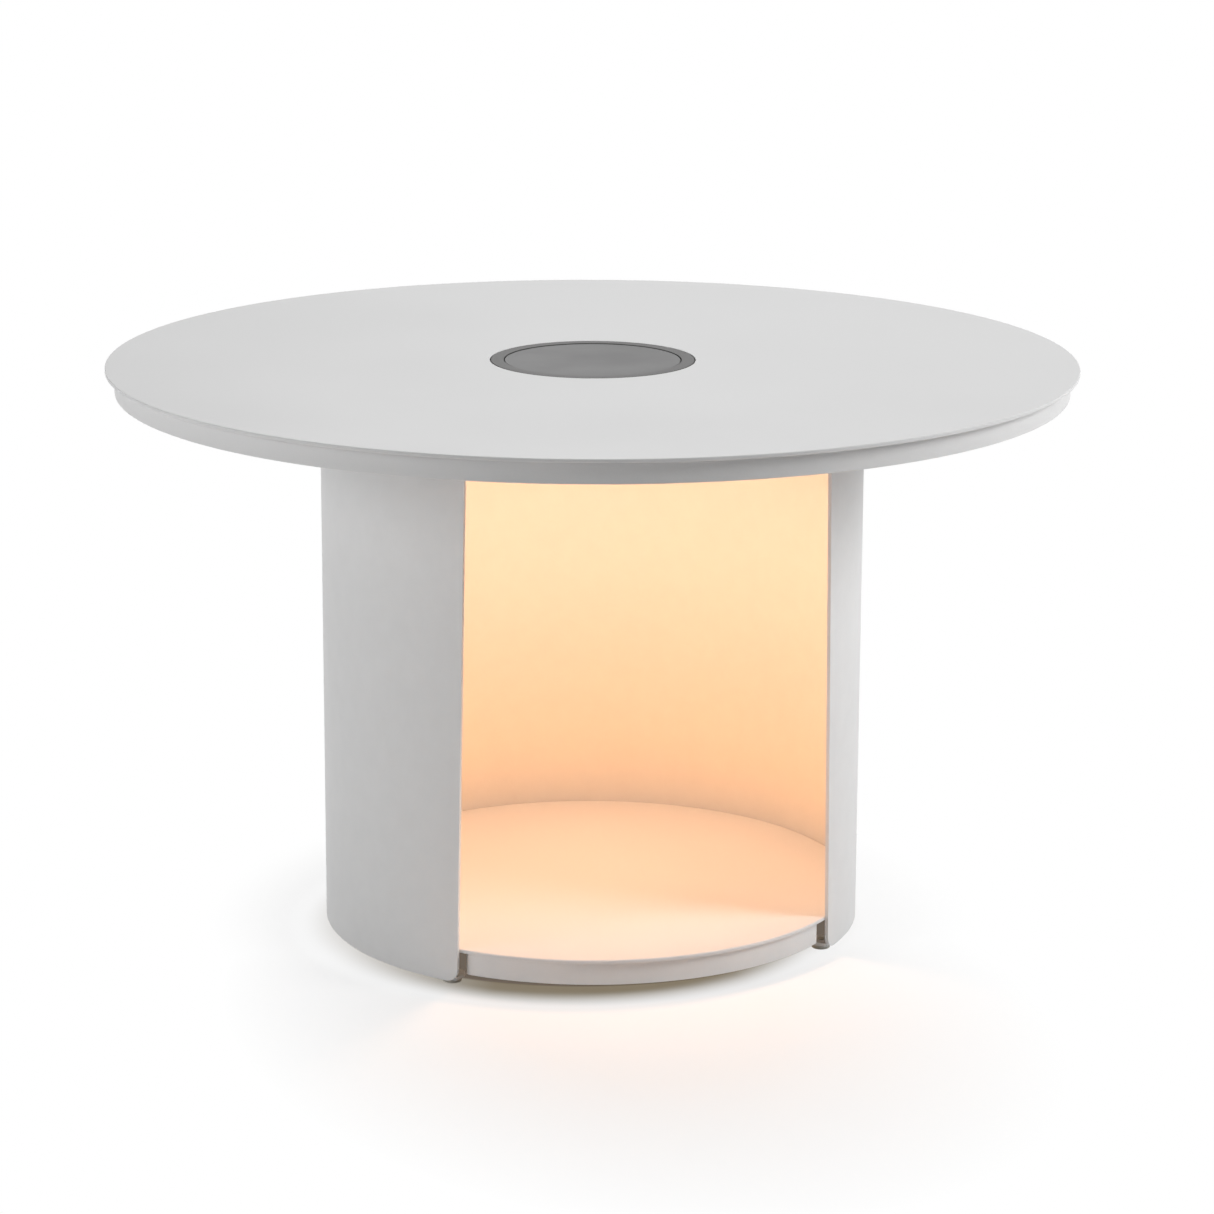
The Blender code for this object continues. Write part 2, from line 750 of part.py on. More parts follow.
def lamp_housing(lamp):
    """Moulded cup with a tongue on its rim and, inside, bosses, webs, posts and a light shield."""
    soft = housing_corner_radius
    inner_soft = soft - housing_wall
    tongue = glass_bore - running_gap
    profile = [
        (tongue - tongue_sheet, rim_top + tongue_height), (tongue, rim_top + tongue_height),
        (tongue, rim_top), (housing_rim, rim_top),
    ]
    profile += arc((housing_foot - soft, housing_under + soft), soft, 0, -90, corner_steps)
    profile += [(diffuser_hole, housing_under), (diffuser_hole, housing_floor), (shield_inner, housing_floor)]
    profile += [(shield_inner, shield_top), (board_radius, shield_top), (board_radius, housing_floor)]
    profile += arc((housing_inner_foot - inner_soft, housing_floor + inner_soft), inner_soft, -90, 0, 2)
    profile += [(tongue - tongue_sheet, rim_top - tongue_height)]
    housing = turned("lamp_housing", profile, lamp_sides, dark_plastic, lamp)

    sunk = housing_floor - housing_wall / 2
    bosses = [polar(pillar_circle, angle) for angle in ring_of(pillar_count, pillar_first_angle)]
    join(housing, rods("screw_bosses", bosses, pillar_radius, sunk, boss_top, small_sides, parent=lamp))
    web_length = housing_inner_foot + housing_wall / 3 - pillar_circle
    for angle in ring_of(pillar_count, pillar_first_angle):
        size = (web_sheet, web_length, boss_top - sunk - web_sheet)
        web = blocks("boss_web", [((0, 0, 0), size)], parent=lamp)
        web.location = (*polar(pillar_circle + web_length / 2, angle), sunk + size[2] / 2)
        web.rotation_euler.z = math.radians(angle)
        join(housing, web)
    tray, control = post_places()
    join(housing, rods("tray_posts", tray, post_radius, sunk, board_top, tiny_sides, parent=lamp))
    join(housing, rods("tray_pins", tray, pin_radius, sunk, tray_floor + pin_proud, tiny_sides, parent=lamp))
    post_high = control_under - seat_gap
    join(housing, rods("control_posts", control, post_radius, sunk, post_high, tiny_sides, parent=lamp))
    pin_high = control_top + pin_proud
    join(housing, rods("control_pins", control, pin_radius, sunk, pin_high, tiny_sides, parent=lamp))
    low = housing_under - cut_overrun
    bore, bore_high = screw_radius + seat_gap, boss_top + cut_overrun
    cut(housing, rods("boss_bores", bosses, bore, low, bore_high, tiny_sides, parent=lamp))
    recess = screw_head_radius + seat_gap
    cut(housing, rods("head_recesses", bosses, recess, low, head_seat, small_sides, parent=lamp))
    hole, high = button_radius + seat_gap, housing_floor + cut_overrun
    cut(housing, rods("button_hole", [(0, -button_place)], hole, low, high, 2 * tiny_sides, parent=lamp))
    settle(housing)


def housing_screws(lamp):
    """Screws that pull the housing up to the bezel's pillars."""
    head, shaft = screw_head_radius, screw_radius
    seat = head_seat - seat_gap
    profile = [(0, screw_top), (shaft, screw_top), (shaft, seat), (head, seat)]
    profile += [(head, housing_under), (0, housing_under)]
    for index, angle in enumerate(ring_of(pillar_count, pillar_first_angle)):
        screw = turned(f"housing_screw_{index + 1}", profile, tiny_sides, steel, lamp, closed=False)
        screw.location = (*polar(pillar_circle, angle), 0)


def light_unit(lamp):
    """Opal dish on its ring seal, and the round board with light chips above it."""
    wall = diffuser_wall
    rim_high = diffuser_seat + wall
    bulge = []
    hollow = []
    for step in range(corner_steps + 1):
        turn = math.pi / 2 * step / corner_steps
        across, drop = math.cos(turn), diffuser_bulge * math.sin(turn)
        bulge.append((diffuser_radius * across, housing_under - drop))
        hollow.append(((diffuser_radius - wall) * across, housing_under + wall - drop))
    hollow[-1] = (0, hollow[-1][1])
    bulge[-1] = (0, bulge[-1][1])
    profile = hollow[::-1] + [(diffuser_radius - wall, rim_high), (diffuser_rim, rim_high)]
    profile += [(diffuser_rim, diffuser_seat), (diffuser_radius, diffuser_seat)] + bulge
    turned("diffuser", profile, lamp_sides, opal, lamp, closed=False)

    low, high = seal_under, seal_under + seal_thickness
    inner = diffuser_hole + seat_gap
    seal = [(inner, low), (inner, high), (diffuser_rim, high), (diffuser_rim, low)]
    turned("diffuser_seal", seal, lamp_sides, seal_rubber, lamp)

    disc = [(0, board_top), (board_radius, board_top), (board_radius, board_under), (0, board_under)]
    board = turned("led_board", disc, lamp_sides, board_white, lamp, closed=False)
    tall = chip_height + board_sheet / 2
    size = (chip_size, chip_size, tall)
    middle = board_under - chip_height + tall / 2
    chips = [((*polar(chip_circle, angle), middle), size) for angle in ring_of(chip_count)]
    join(board, blocks("light_chips", chips, parent=lamp))
    settle(board)


def power_unit(lamp):
    """Open tray with four ears, its cells and the contact strips at their ends."""
    shape = bmesh.new()
    made = bmesh.ops.create_cube(shape, size=1)
    high = tray_floor + tray_wall_height
    bmesh.ops.scale(shape, verts=made["verts"], vec=(tray_length, tray_width, high - tray_under))
    bmesh.ops.translate(shape, verts=made["verts"], vec=(0, 0, (high + tray_under) / 2))
    lid = max(shape.faces, key=lambda face: face.calc_center_median().z)
    bmesh.ops.delete(shape, geom=[lid], context="FACES_ONLY")
    mesh = bpy.data.meshes.new("battery_tray")
    shape.to_mesh(mesh)
    shape.free()
    tray = thickened(add_object("battery_tray", mesh, dark_plastic, lamp), tray_sheet)
    places, _ = post_places()
    for place in places:
        root = (math.copysign(tray_inner_length / 2, place[0]), math.copysign(tray_inner_width / 2, place[1]))
        ear = flat("tray_ear", [capsule(root, place, ear_diameter / 2)], tray_sheet, parent=lamp)
        ear.location.z = tray_under + tray_sheet / 2
        join(tray, ear)
    hole, low, high = pin_radius + seat_gap, tray_under - cut_overrun, tray_floor + cut_overrun
    cut(tray, rods("ear_holes", places, hole, low, high, tiny_sides, parent=lamp))
    settle(tray)

    radius, cap = battery_diameter / 2, battery_cap_diameter / 2
    soft = battery_shoulder
    half = (battery_length + battery_cap_height) / 2
    shoulder = half - battery_cap_height
    cell = [(0, half), (cap, half), (cap, shoulder), (radius - soft, shoulder), (radius, shoulder - soft)]
    cell += [(radius, -half), (0, -half)]
    for index in range(battery_count):
        battery = turned(f"battery_cell_{index + 1}", cell, small_sides, cell_wrap, lamp, closed=False)
        across = (index - (battery_count - 1) / 2) * (battery_diameter + seat_gap)
        battery.location = (0, across, battery_axis)
        battery.rotation_euler.y = math.pi / 2

    inner = tray_inner_length / 2 - seat_gap
    low = tray_floor + seat_gap
    high = tray_floor + tray_wall_height + seat_gap
    width = tray_inner_width - 2 * seat_gap
    face = inner - contact_sheet
    path = [(face + contact_lip, high + contact_sheet), (face, high + contact_sheet), (face, low)]
    for index, side in enumerate((1, -1)):
        strip = folded(f"battery_contact_{index + 1}", path, width, contact_sheet, nickel, lamp)
        strip.location.y = side * width / 2
        strip.rotation_euler = (math.pi / 2, 0, index * math.pi)


def capsule(start, end, radius):
    """Outline of a bar with round ends between two plan places."""
    heading = math.degrees(math.atan2(end[1] - start[1], end[0] - start[0]))
    points = arc(end, radius, heading - 90, heading + 90, corner_steps)
    return points + arc(start, radius, heading + 90, heading + 270, corner_steps)


def control_unit(lamp):
    """Control board on two posts, the switch under it and the leads."""
    _, control = post_places()
    outline = rounded_rectangle(control_length, control_width, control_corner_radius, (0, -control_mid))
    board = flat("control_board", [outline], board_sheet, board_green, lamp)
    board.location.z = control_under + board_sheet / 2
    low, high = control_under - cut_overrun, control_top + cut_overrun
    cut(board, rods("pin_holes", control, pin_radius + seat_gap, low, high, tiny_sides, parent=lamp))
    sunk = control_top - board_sheet / 2
    tall, short = part_height_large + board_sheet / 2, part_height_small + board_sheet / 2
    large, small = part_length_large, part_length_small
    side = control_length / 2
    row = control_outer - control_width + large / 2
    corners = [
        ((part_inset + large / 2 - side, -row, sunk + tall / 2), (large, small, tall)),
        ((side - part_inset, -row, sunk + short / 2), (small, small, short)),
        ((0, -button_place, sunk + short / 2), (large, small, short)),
    ]
    join(board, blocks("board_parts", corners, parent=lamp))
    settle(board)

    size = (switch_size, switch_size, switch_height)
    centre = (0, -button_place, switch_under + switch_height / 2)
    switch = blocks("switch_body", [(centre, size)], dark_plastic, lamp)
    bore = button_stem_diameter / 2 + seat_gap
    low, high = switch_under - cut_overrun, switch_under + button_travel + 2 * running_gap
    cut(switch, rods("switch_bore", [(0, -button_place)], bore, low, high, tiny_sides, parent=lamp))
    settle(switch)

    solar_start = Vector((-side + 3 * small / 2, -control_mid + small / 2, cell_under - seat_gap))
    solar_end = Vector((-side + small, -control_mid + small / 2, control_top + seat_gap))
    tube("solar_lead", drop_route(solar_start, solar_end), lead_diameter, lead_red, lamp)
    across = side + lead_diameter
    along = math.sqrt((board_radius - lead_diameter) ** 2 - across ** 2)
    led_start = Vector((across, -along, board_top + seat_gap))
    led_end = Vector((side - small / 2, -control_mid + small / 2, control_top + seat_gap))
    tube("led_lead", arch_route(led_start, led_end, part_length_small), lead_diameter, lead_red, lamp)


def drop_route(start, end):
    """Lead that leaves and arrives square to level faces, one above the other."""
    points = []
    steps = 2 * corner_steps
    for step in range(steps + 1):
        share = step / steps
        sway = (1 - math.cos(math.pi * share)) / 2
        place = start.lerp(end, sway)
        points.append((place.x, place.y, start.z + (end.z - start.z) * share))
    return points


def arch_route(start, end, rise):
    """Lead that rises from one level face and comes down on another."""
    points = [tuple(start)]
    crown = max(start.z, end.z) + rise / 2
    half = (end - start) / 2
    steps = 2 * corner_steps
    for step in range(steps + 1):
        turn = math.pi * step / steps
        place = start + half * (1 - math.cos(turn))
        points.append((place.x, place.y, crown + rise / 2 * math.sin(turn)))
    return points + [tuple(end)]


def switch_button(lamp):
    """Push button in the lamp's underside, with a collar inside and a stem up to the switch."""
    radius, stem = button_radius, button_stem_diameter / 2
    low = housing_under - button_proud
    collar = housing_floor + seat_gap
    tip = switch_under + running_gap
    profile = [
        (0, tip), (stem, tip), (stem, button_flange_top), (button_flange_radius, button_flange_top),
        (button_flange_radius, collar), (radius, collar), (radius, low + button_edge_radius),
        (radius - button_edge_radius, low), (0, low),
    ]
    button = turned("switch_button", profile, 2 * tiny_sides, button_grey, lamp, closed=False)
    button.location = (0, -button_place, 0)


clear_scene()
parts = new_collection("light_up_table")
cutters = new_collection("cutters")

coated = new_material("light_grey_coat", (0.72, 0.72, 0.71), 0.45, 0.0)
steel = new_material("zinc_plated_steel", (0.62, 0.63, 0.64), 0.35, 1.0)
glide_plastic = new_material("glide_plastic", (0.30, 0.30, 0.29), 0.6, 0.0)
dark_plastic = new_material("dark_moulding", (0.17, 0.17, 0.17), 0.5, 0.0)
etched_glass = new_material("etched_glass", (0.27, 0.27, 0.27), 0.4, 0.0)
cell_blue = new_material("cell_laminate", (0.03, 0.035, 0.06), 0.3, 0.0)
seal_rubber = new_material("seal_rubber", (0.04, 0.04, 0.04), 0.8, 0.0)
opal = new_material("opal_diffuser", (0.95, 0.86, 0.72), 0.5, 0.0)
board_white = new_material("light_board", (0.80, 0.80, 0.78), 0.5, 0.0)
board_green = new_material("control_board", (0.03, 0.16, 0.07), 0.5, 0.0)
cell_wrap = new_material("battery_wrap", (0.10, 0.22, 0.42), 0.5, 0.0)
nickel = new_material("nickel_strip", (0.66, 0.64, 0.58), 0.3, 1.0)
lead_red = new_material("lead_sheath", (0.45, 0.03, 0.03), 0.5, 0.0)
button_grey = new_material("button_rubber", (0.24, 0.24, 0.24), 0.65, 0.0)

top_plate()
top_skirt()
top_ribs()
lamp_seat()
drum_wall()
drum_flange()
floor_plate()
floor_band()
floor_ledges()
feet()

lamp_empty = bpy.data.objects.new("lamp_lift", None)
lamp_empty.location.z = lamp_origin
parts.objects.link(lamp_empty)
lamp_bezel(lamp_empty)
solar_panel(lamp_empty)
lamp_gasket(lamp_empty)
lamp_housing(lamp_empty)
housing_screws(lamp_empty)
light_unit(lamp_empty)
power_unit(lamp_empty)
control_unit(lamp_empty)
switch_button(lamp_empty)
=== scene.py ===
"""Looks of the round lit table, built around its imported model.

Every visible sheet, moulding and fastener is rebuilt with fine facets and soft edges in the
place of its CAD node. Units are metres, +Z is up and the opening faces -Y. Angles are
degrees around +Z, counted from -Y towards +X.
"""

import json
import math

import bmesh
import bpy
from mathutils import Matrix, Vector

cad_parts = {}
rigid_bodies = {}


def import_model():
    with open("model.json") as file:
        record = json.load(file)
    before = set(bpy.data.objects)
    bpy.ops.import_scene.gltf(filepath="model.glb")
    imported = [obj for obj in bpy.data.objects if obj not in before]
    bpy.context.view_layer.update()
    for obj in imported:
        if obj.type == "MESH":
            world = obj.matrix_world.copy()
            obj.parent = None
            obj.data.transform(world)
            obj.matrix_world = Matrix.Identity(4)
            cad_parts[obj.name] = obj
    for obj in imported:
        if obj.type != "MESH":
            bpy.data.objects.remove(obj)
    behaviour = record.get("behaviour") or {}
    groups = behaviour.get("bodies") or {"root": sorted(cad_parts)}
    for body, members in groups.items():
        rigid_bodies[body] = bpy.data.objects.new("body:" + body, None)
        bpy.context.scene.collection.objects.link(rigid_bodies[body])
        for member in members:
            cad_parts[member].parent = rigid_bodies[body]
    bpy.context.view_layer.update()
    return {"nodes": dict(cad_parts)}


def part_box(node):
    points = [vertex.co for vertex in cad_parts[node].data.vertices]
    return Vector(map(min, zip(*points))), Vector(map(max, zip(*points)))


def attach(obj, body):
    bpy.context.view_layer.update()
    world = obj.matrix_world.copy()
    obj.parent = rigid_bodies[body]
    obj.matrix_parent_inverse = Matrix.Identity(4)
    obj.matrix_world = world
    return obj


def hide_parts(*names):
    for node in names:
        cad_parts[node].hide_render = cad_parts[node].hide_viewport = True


# Fineness: sides of round pieces, steps of arcs, and which edges are sharp or crests
round_sides = 288
lamp_sides = 144
pad_sides = 64
floor_sides = 64
bore_sides = 48
small_sides = 32
hexagon_sides = 6
dish_steps = 20
wide_arc_steps = 15
corner_steps = 5
wall_step = 1.0
merge_distance = 0.000005
sharp_angle = 38.0
crest_angles = (10.0, 17.0)
edge_segments = 3

# Camera of the photograph, on the table's axis
view_azimuth = -16.2
view_distance = 3.3066
view_side = 0.0126
view_height = 1.091
view_pitch = 13.99
view_roll = 0.23
view_lens = 120.63
view_sensor = 36.0

# Fits, and how far cutters and joined shapes reach past a face
fit_gap = 0.0001
seat_gap = 0.0003
running_gap = 0.0007
overlap = 0.0005

# Rounding of edges
hair_edge = 0.0001
fine_edge = 0.0003
hole_edge = 0.0005
soft_edge = 0.0005
plate_edge = 0.0008
lip_edge = 0.0013

# Sheet metal
rolled_sheet = 0.003
opening_top_angle = 84.3
opening_bottom_angle = 89.2
wall_corner_radius = 0.010
flange_width = 0.030
band_sheet = 0.002
band_end_gap = 0.0022
band_return = 0.012
band_bend_radius = 0.0045
ledge_angles = (80.0, 180.0, 280.0)
ledge_width = 0.030
ledge_reach = 0.018
ledge_drop = 0.014
ledge_sheet = 0.0025
ledge_bend_radius = 0.004
tab_length = 0.020
tab_width = 0.019
tab_corner_radius = 0.008
tab_gap = 0.0026
foot_back_angle = 140.0
glide_shank_ratio = 3
glide_edge = 0.001
rib_count = 6
rib_sheet = 0.003
rib_inner_depth = 0.0155
rib_outer_depth = 0.0105
rib_nose_radius = 0.006
seat_ledge_width = 0.0084
seat_sheet = 0.002

# Weld beads, with rings that swell and shrink in turn
bead_radius = 0.0016
bead_ring_gap = 0.0007
bead_swell = 0.00022
bead_length = 0.022
bead_pitch = 0.055
bead_inset = 0.01375
bead_sides = 10
bead_end_share = 0.03
bead_end_power = 0.3

# Studs and nuts
stud_count = 6
stud_diameter = 0.006
thread_pitch = 0.0010
thread_depth = 0.0005
nut_chamfer = 0.0008
nut_turn = 30.0

# Lamp
bezel_thickness = 0.003
bezel_edge = 0.0006
bezel_rim_width = 0.0087
spigot_depth = 0.006
shelf_width = 0.0045
shelf_thickness = 0.0025
pillar_diameter = 0.0072
pillar_inset = 0.0018
pillar_angles = (45.0, 135.0, 225.0, 315.0)
glass_edge = 0.0005
glass_seam = 0.0006
housing_wall = 0.0025
housing_draft = 0.0014
housing_corner_radius = 0.004
tongue_height = 0.0022
tongue_sheet = 0.0012
shield_sheet = 0.0020
web_sheet = 0.0016
post_diameter = 0.005
board_sheet = 0.0016
tray_diagonal_angle = 39.8
control_post_inset = 0.006
screw_count = 4
screw_radius = 0.0015
screw_head_radius = 0.0029
screw_head_height = 0.0018
screw_socket = 0.0026
screw_socket_depth = 0.0011
screw_turn = 17.0
dish_wall = 0.0018
dish_flange = 0.004
dish_bulge = 0.0045
button_radius = 0.006
button_edge = 0.0008
button_dish = 0.0004
button_dish_edge = 0.0004
button_rim_share = 0.62
button_face_share = 0.52
button_stem_radius = 0.0014
button_collar_sheet = 0.0012

# Materials. Scales are per metre, shades are shares of the colour, and a bump is a strength
# and a depth in metres.
noise_range = (0.3, 0.7)
wear_noise = {"scale": 60.0, "detail": 3.0}
wear_range = (0.4, 1.0)

coat_colour = (0.645, 0.645, 0.645)
coat_clouds = {"scale": 4.5, "detail": 3.0}
coat_grain = {"scale": 1400.0}
coat_peel = {"scale": 420.0, "detail": 1.5, "roughness": 0.4}
coat_shades = (0.985, 1.015)
coat_speckle_shade = 1.03
# Crests of edges lighter by this share: partly wear, partly painted highlight
coat_edge_highlight_and_wear = 1.08
coat_roughness = (0.46, 0.54)
coat_peel_bump = (0.35, 0.00012)
coat_grain_bump = (0.25, 0.00004)
coat_ior = 1.45

# Mouldings: colour, roughness, and the scale and depth of their grain
mouldings = {
    "dark_moulding": ((0.036, 0.035, 0.034), 0.50, 1500.0, 0.00004),
    "seal_rubber": ((0.022, 0.022, 0.022), 0.70, 700.0, 0.00003),
    "button_rubber": ((0.052, 0.052, 0.053), 0.62, 1100.0, 0.00003),
    "glide_plastic": ((0.50, 0.48, 0.43), 0.50, 900.0, 0.00004),
    "battery_wrap": ((0.03, 0.09, 0.24), 0.36, 300.0, 0.00002),
    "lead_sheath": ((0.30, 0.015, 0.015), 0.42, 600.0, 0.00002),
}
moulding_clouds = {"scale": 22.0}
moulding_grain = {"detail": 3.0, "roughness": 0.6}
moulding_shades = (0.93, 1.07)
# Crests of edges paler by this share: partly wear, partly painted highlight
moulding_edge_highlight_and_wear = 1.35
moulding_sheen_spread = 0.06
moulding_grain_strength = 0.5
moulding_ior = 1.34

# Platings: colour and roughness
platings = {
    "zinc_plating": ((0.60, 0.61, 0.62), 0.34),
    "nickel_plating": ((0.66, 0.63, 0.56), 0.28),
}
plating_clouds = {"scale": 160.0, "detail": 3.0}
plating_grain = {"scale": 1800.0}
plating_shades = (0.88, 1.08)
plating_sheen_spread = (-0.07, 0.09)
plating_bump = (0.3, 0.00003)

glass_colour = (0.024, 0.0235, 0.0235)
glass_tooth = {"scale": 2600.0, "roughness": 0.7}
glass_clouds = {"scale": 18.0, "detail": 3.0}
glass_shades = (0.96, 1.05)
glass_roughness = (0.50, 0.56)
glass_bump = (0.4, 0.00002)
glass_ior = 1.52

opal_colour = (0.50, 0.48, 0.45)
opal_glow = (1.0, 0.68, 0.54)
opal_strength = 0.75
opal_rim_strength = 0.72
opal_grain = {"scale": 900.0}
opal_roughness = (0.38, 0.48)
opal_bump = (0.2, 0.00003)

# Boards: colour and that of their tracks
boards = {
    "cell_laminate": ((0.012, 0.016, 0.040), (0.05, 0.055, 0.07)),
    "light_board": ((0.78, 0.78, 0.76), (0.70, 0.70, 0.68)),
    "control_board": ((0.012, 0.085, 0.032), (0.03, 0.13, 0.05)),
}
track_scale = 120.0
track_width = 0.06
track_offset = 0.35
board_grain = {"scale": 1500.0}
board_roughness = (0.34, 0.46)
board_bump = (0.3, 0.00004)

# Sockets of a colour Mix node
mix_first, mix_second, mix_result = 6, 7, 2

# Studio: soft round panels given by azimuth, elevation and power
white = (1, 1, 1)
panel_aim = 0.25
panel_distance = 3.0
panel_size = 1.5
panels = {
    "key_panel": (62.0, 31.0, 62.0),
    "left_panel": (-80.0, 16.0, 36.5),
    "back_panel": (167.0, 46.0, 26.0),
    "ceiling_panel": (0.0, 90.0, 11.0),
}
# The table top would mirror these low panels as clipped white in a low view
unmirrored_panels = ("key_panel", "left_panel")
sky_strength = 0.05

# Studio floor. It bounces light at floor_bounce. Where it is seen near the table, shade takes
# the shadow and lift glows evenly on top of it, and further out it fades to plain white.
floor_radius = 30.0
floor_bounce = 0.86
floor_shade = 0.50
floor_lift = 0.46
shadow_centre = (-0.035, -0.175, 0.0)
shadow_scale = (1.0, 0.7, 1.0)
shadow_reach = (0.11, 0.32)
contact_reach = (0.225, 0.330)
contact_share = 0.40
# Its look under the drum and close round it: a painted contact shadow that fades into the lift, and
# a ring where the floor shows less of its light and glows more evenly, painted shade that keeps the
# lamp's glow off the ground just in front of the band
painted_shadow_centre = (-0.023, -0.013, 0.0)
painted_shadow_reach = (0.188, 0.228)
niche_shade = 0.15
niche_painted_lift = 0.72
niche_reach = (0.229, 0.245)
painted_contact_shadow = (0.19, 0.16, 0.11)
# Ground inside the drum, seen through the slots beside the band, painted a dark shade
painted_inner_shade = (0.15, 0.12, 0.095)
painted_inner_shade_centre = (0.0, 0.040, 0.0)
painted_inner_shade_reach = (0.230, 0.236)
wall_reach = (0.214, 0.222)

# Warm lights: the lamp's own, its deeper bounce off the niche's floor, and the leak below it
light_gap = 0.0010
glow_colour = (1.0, 0.59, 0.363)
glow_power = 1.45
glow_radius = 0.040
bounce_colour = (1.0, 0.355, 0.0)
bounce_power = 0.465
bounce_radius = 0.17
leak_colour = (1.0, 0.72, 0.50)
leak_power = 0.25
leak_radius = 0.16


def clear_scene():
    """Remove what the new file starts with."""
    for ob in list(bpy.data.objects):
        bpy.data.objects.remove(ob, do_unlink=True)


def photo_camera():
    """Camera at the photograph's place, with its slight roll."""
    turn, tip, roll = (math.radians(angle) for angle in (view_azimuth, view_pitch, view_roll))
    right = Vector((math.cos(turn), math.sin(turn), 0))
    ahead = Vector((-math.sin(turn), math.cos(turn), 0))
    look = ahead * math.cos(tip) - Vector((0, 0, math.sin(tip)))
    side = right * math.cos(roll) + right.cross(look) * math.sin(roll)
    data = bpy.data.cameras.new("camera")
    data.lens = view_lens
    data.sensor_width = view_sensor
    data.clip_end = 2 * floor_radius
    camera = bpy.data.objects.new("camera", data)
    bpy.context.scene.collection.objects.link(camera)
    matrix = Matrix((side, (-look).cross(side), -look)).transposed().to_4x4()
    matrix.translation = right * view_side - ahead * view_distance + Vector((0, 0, view_height))
    camera.matrix_world = matrix
    bpy.context.scene.camera = camera


def polar(radius, angle):
    """Plan position at a radius and an angle counted from the front."""
    turn = math.radians(angle)
    return radius * math.sin(turn), -radius * math.cos(turn)


def middle(node_name):
    """Plan position of a CAD node's middle."""
    low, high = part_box(node_name)
    return (low.x + high.x) / 2, (low.y + high.y) / 2


def circle(radius, sides):
    """Round outline about the origin."""
    turns = [2 * math.pi * index / sides for index in range(sides)]
    return [(radius * math.cos(turn), radius * math.sin(turn)) for turn in turns]


def arc(radius, start, end, steps):
    """Points along an arc about the origin, between two angles counted from +X."""
    points = []
    for step in range(steps + 1):
        turn = math.radians(start + (end - start) * step / steps)
        points.append((radius * math.cos(turn), radius * math.sin(turn)))
    return points


def filleted(corners):
    """Outline through corners given as x, y and the radius of the arc there."""
    points = []
    for index, (x, y, radius) in enumerate(corners):
        if radius == 0:
            points.append((x, y))
            continue
        corner = Vector((x, y))
        before = (Vector(corners[index - 1][:2]) - corner).normalized()
        after = (Vector(corners[(index + 1) % len(corners)][:2]) - corner).normalized()
        half = before.angle(after) / 2
        centre = corner + (before + after).normalized() * (radius / math.sin(half))
        start = corner + before * (radius / math.tan(half)) - centre
        end = corner + after * (radius / math.tan(half)) - centre
        for step in range(corner_steps + 1):
            spoke = start.lerp(end, step / corner_steps).normalized() * radius
            points.append(tuple(centre + spoke))
    return points


def link(name, data, material=None):
    """New object in the scene."""
    ob = bpy.data.objects.new(name, data)
    bpy.context.scene.collection.objects.link(ob)
    if material:
        data.materials.append(material)
    return ob


def new_mesh(name, shape):
    """Mesh of a shape that is done."""
    mesh = bpy.data.meshes.new(name)
    shape.to_mesh(mesh)
    shape.free()
    return mesh


def resulting_mesh(ob):
    """Mesh that an object's curve or modifiers result in."""
    bpy.context.view_layer.update()
    depsgraph = bpy.context.evaluated_depsgraph_get()
    return bpy.data.meshes.new_from_object(ob.evaluated_get(depsgraph))


def settle(ob):
    """Make the modifiers' result the object's own mesh, welded and smooth between its edges."""
    mesh = resulting_mesh(ob)
    ob.modifiers.clear()
    shape = bmesh.new()
    shape.from_mesh(mesh)
    bmesh.ops.remove_doubles(shape, verts=shape.verts, dist=merge_distance)
    shape.to_mesh(mesh)
    shape.free()
    mesh.shade_smooth()
    mesh.set_sharp_from_angle(angle=math.radians(sharp_angle))
    mesh.name = ob.name
    ob.data = mesh
    return ob


def soften(ob):
    """Round all edges a little."""
    bevel = ob.modifiers.new("soft_edges", "BEVEL")
    bevel.width = soft_edge
    bevel.segments = edge_segments
    bevel.limit_method = "ANGLE"
    bevel.angle_limit = math.radians(sharp_angle)
    bevel.use_clamp_overlap = True
    return settle(ob)


def mark_crests(ob):
    """Give each vertex 1 on the crest of a rounded or sharp edge, and 0 on plain parts."""
    shape = bmesh.new()
    shape.from_mesh(ob.data)
    values = []
    for vertex in shape.verts:
        turns = [edge.calc_face_angle_signed(0) for edge in vertex.link_edges]
        share = (math.degrees(max(turns)) - crest_angles[0]) / (crest_angles[1] - crest_angles[0])
        values.append(min(max(share, 0), 1))
    shape.free()
    ob.data.attributes.new("crest", "FLOAT", "POINT").data.foreach_set("value", values)


def show(ob, body, slot, *nodes):
    """Let a finished piece ride on its body in the place of CAD nodes."""
    mark_crests(ob)
    weighted = ob.modifiers.new("flat_faces", "WEIGHTED_NORMAL")
    weighted.keep_sharp = True
    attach(ob, body)
    if nodes:
        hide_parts(*nodes)


def turned(name, corners, sides, material, closed=True):
    """Body turned from corners of radius, height and rounding, which run down its outer side."""
    profile = filleted(corners)
    mesh = bpy.data.meshes.new(name)
    edges = [(index, index + 1) for index in range(len(profile) - 1)]
    if closed:
        edges.append((len(profile) - 1, 0))
    mesh.from_pydata([(radius, 0, height) for radius, height in profile], edges, [])
    ob = link(name, mesh, material)
    screw = ob.modifiers.new("turn", "SCREW")
    screw.axis = "Z"
    screw.steps = sides
    screw.use_merge_vertices = True
    screw.merge_threshold = merge_distance
    return settle(ob)


def flat(name, outlines, thickness, material):
    """Sheet centred on z = 0. The first outline is its edge and the others are holes."""
    curve = bpy.data.curves.new(name, "CURVE")
    curve.dimensions = "2D"
    curve.fill_mode = "BOTH"
    curve.extrude = thickness / 2
    for outline in outlines:
        spline = curve.splines.new("POLY")
        spline.points.add(len(outline) - 1)
        for point, (x, y) in zip(spline.points, outline):
            point.co = (x, y, 0, 1)
        spline.use_cyclic_u = True
    drawn = link(name, curve)
    mesh = resulting_mesh(drawn)
    bpy.data.objects.remove(drawn, do_unlink=True)
    return settle(link(name, mesh, material))


def strip(shape, low, high):
    """Faces between two rows of vertices."""
    for index in range(len(low) - 1):
        shape.faces.new((low[index], low[index + 1], high[index + 1], high[index]))


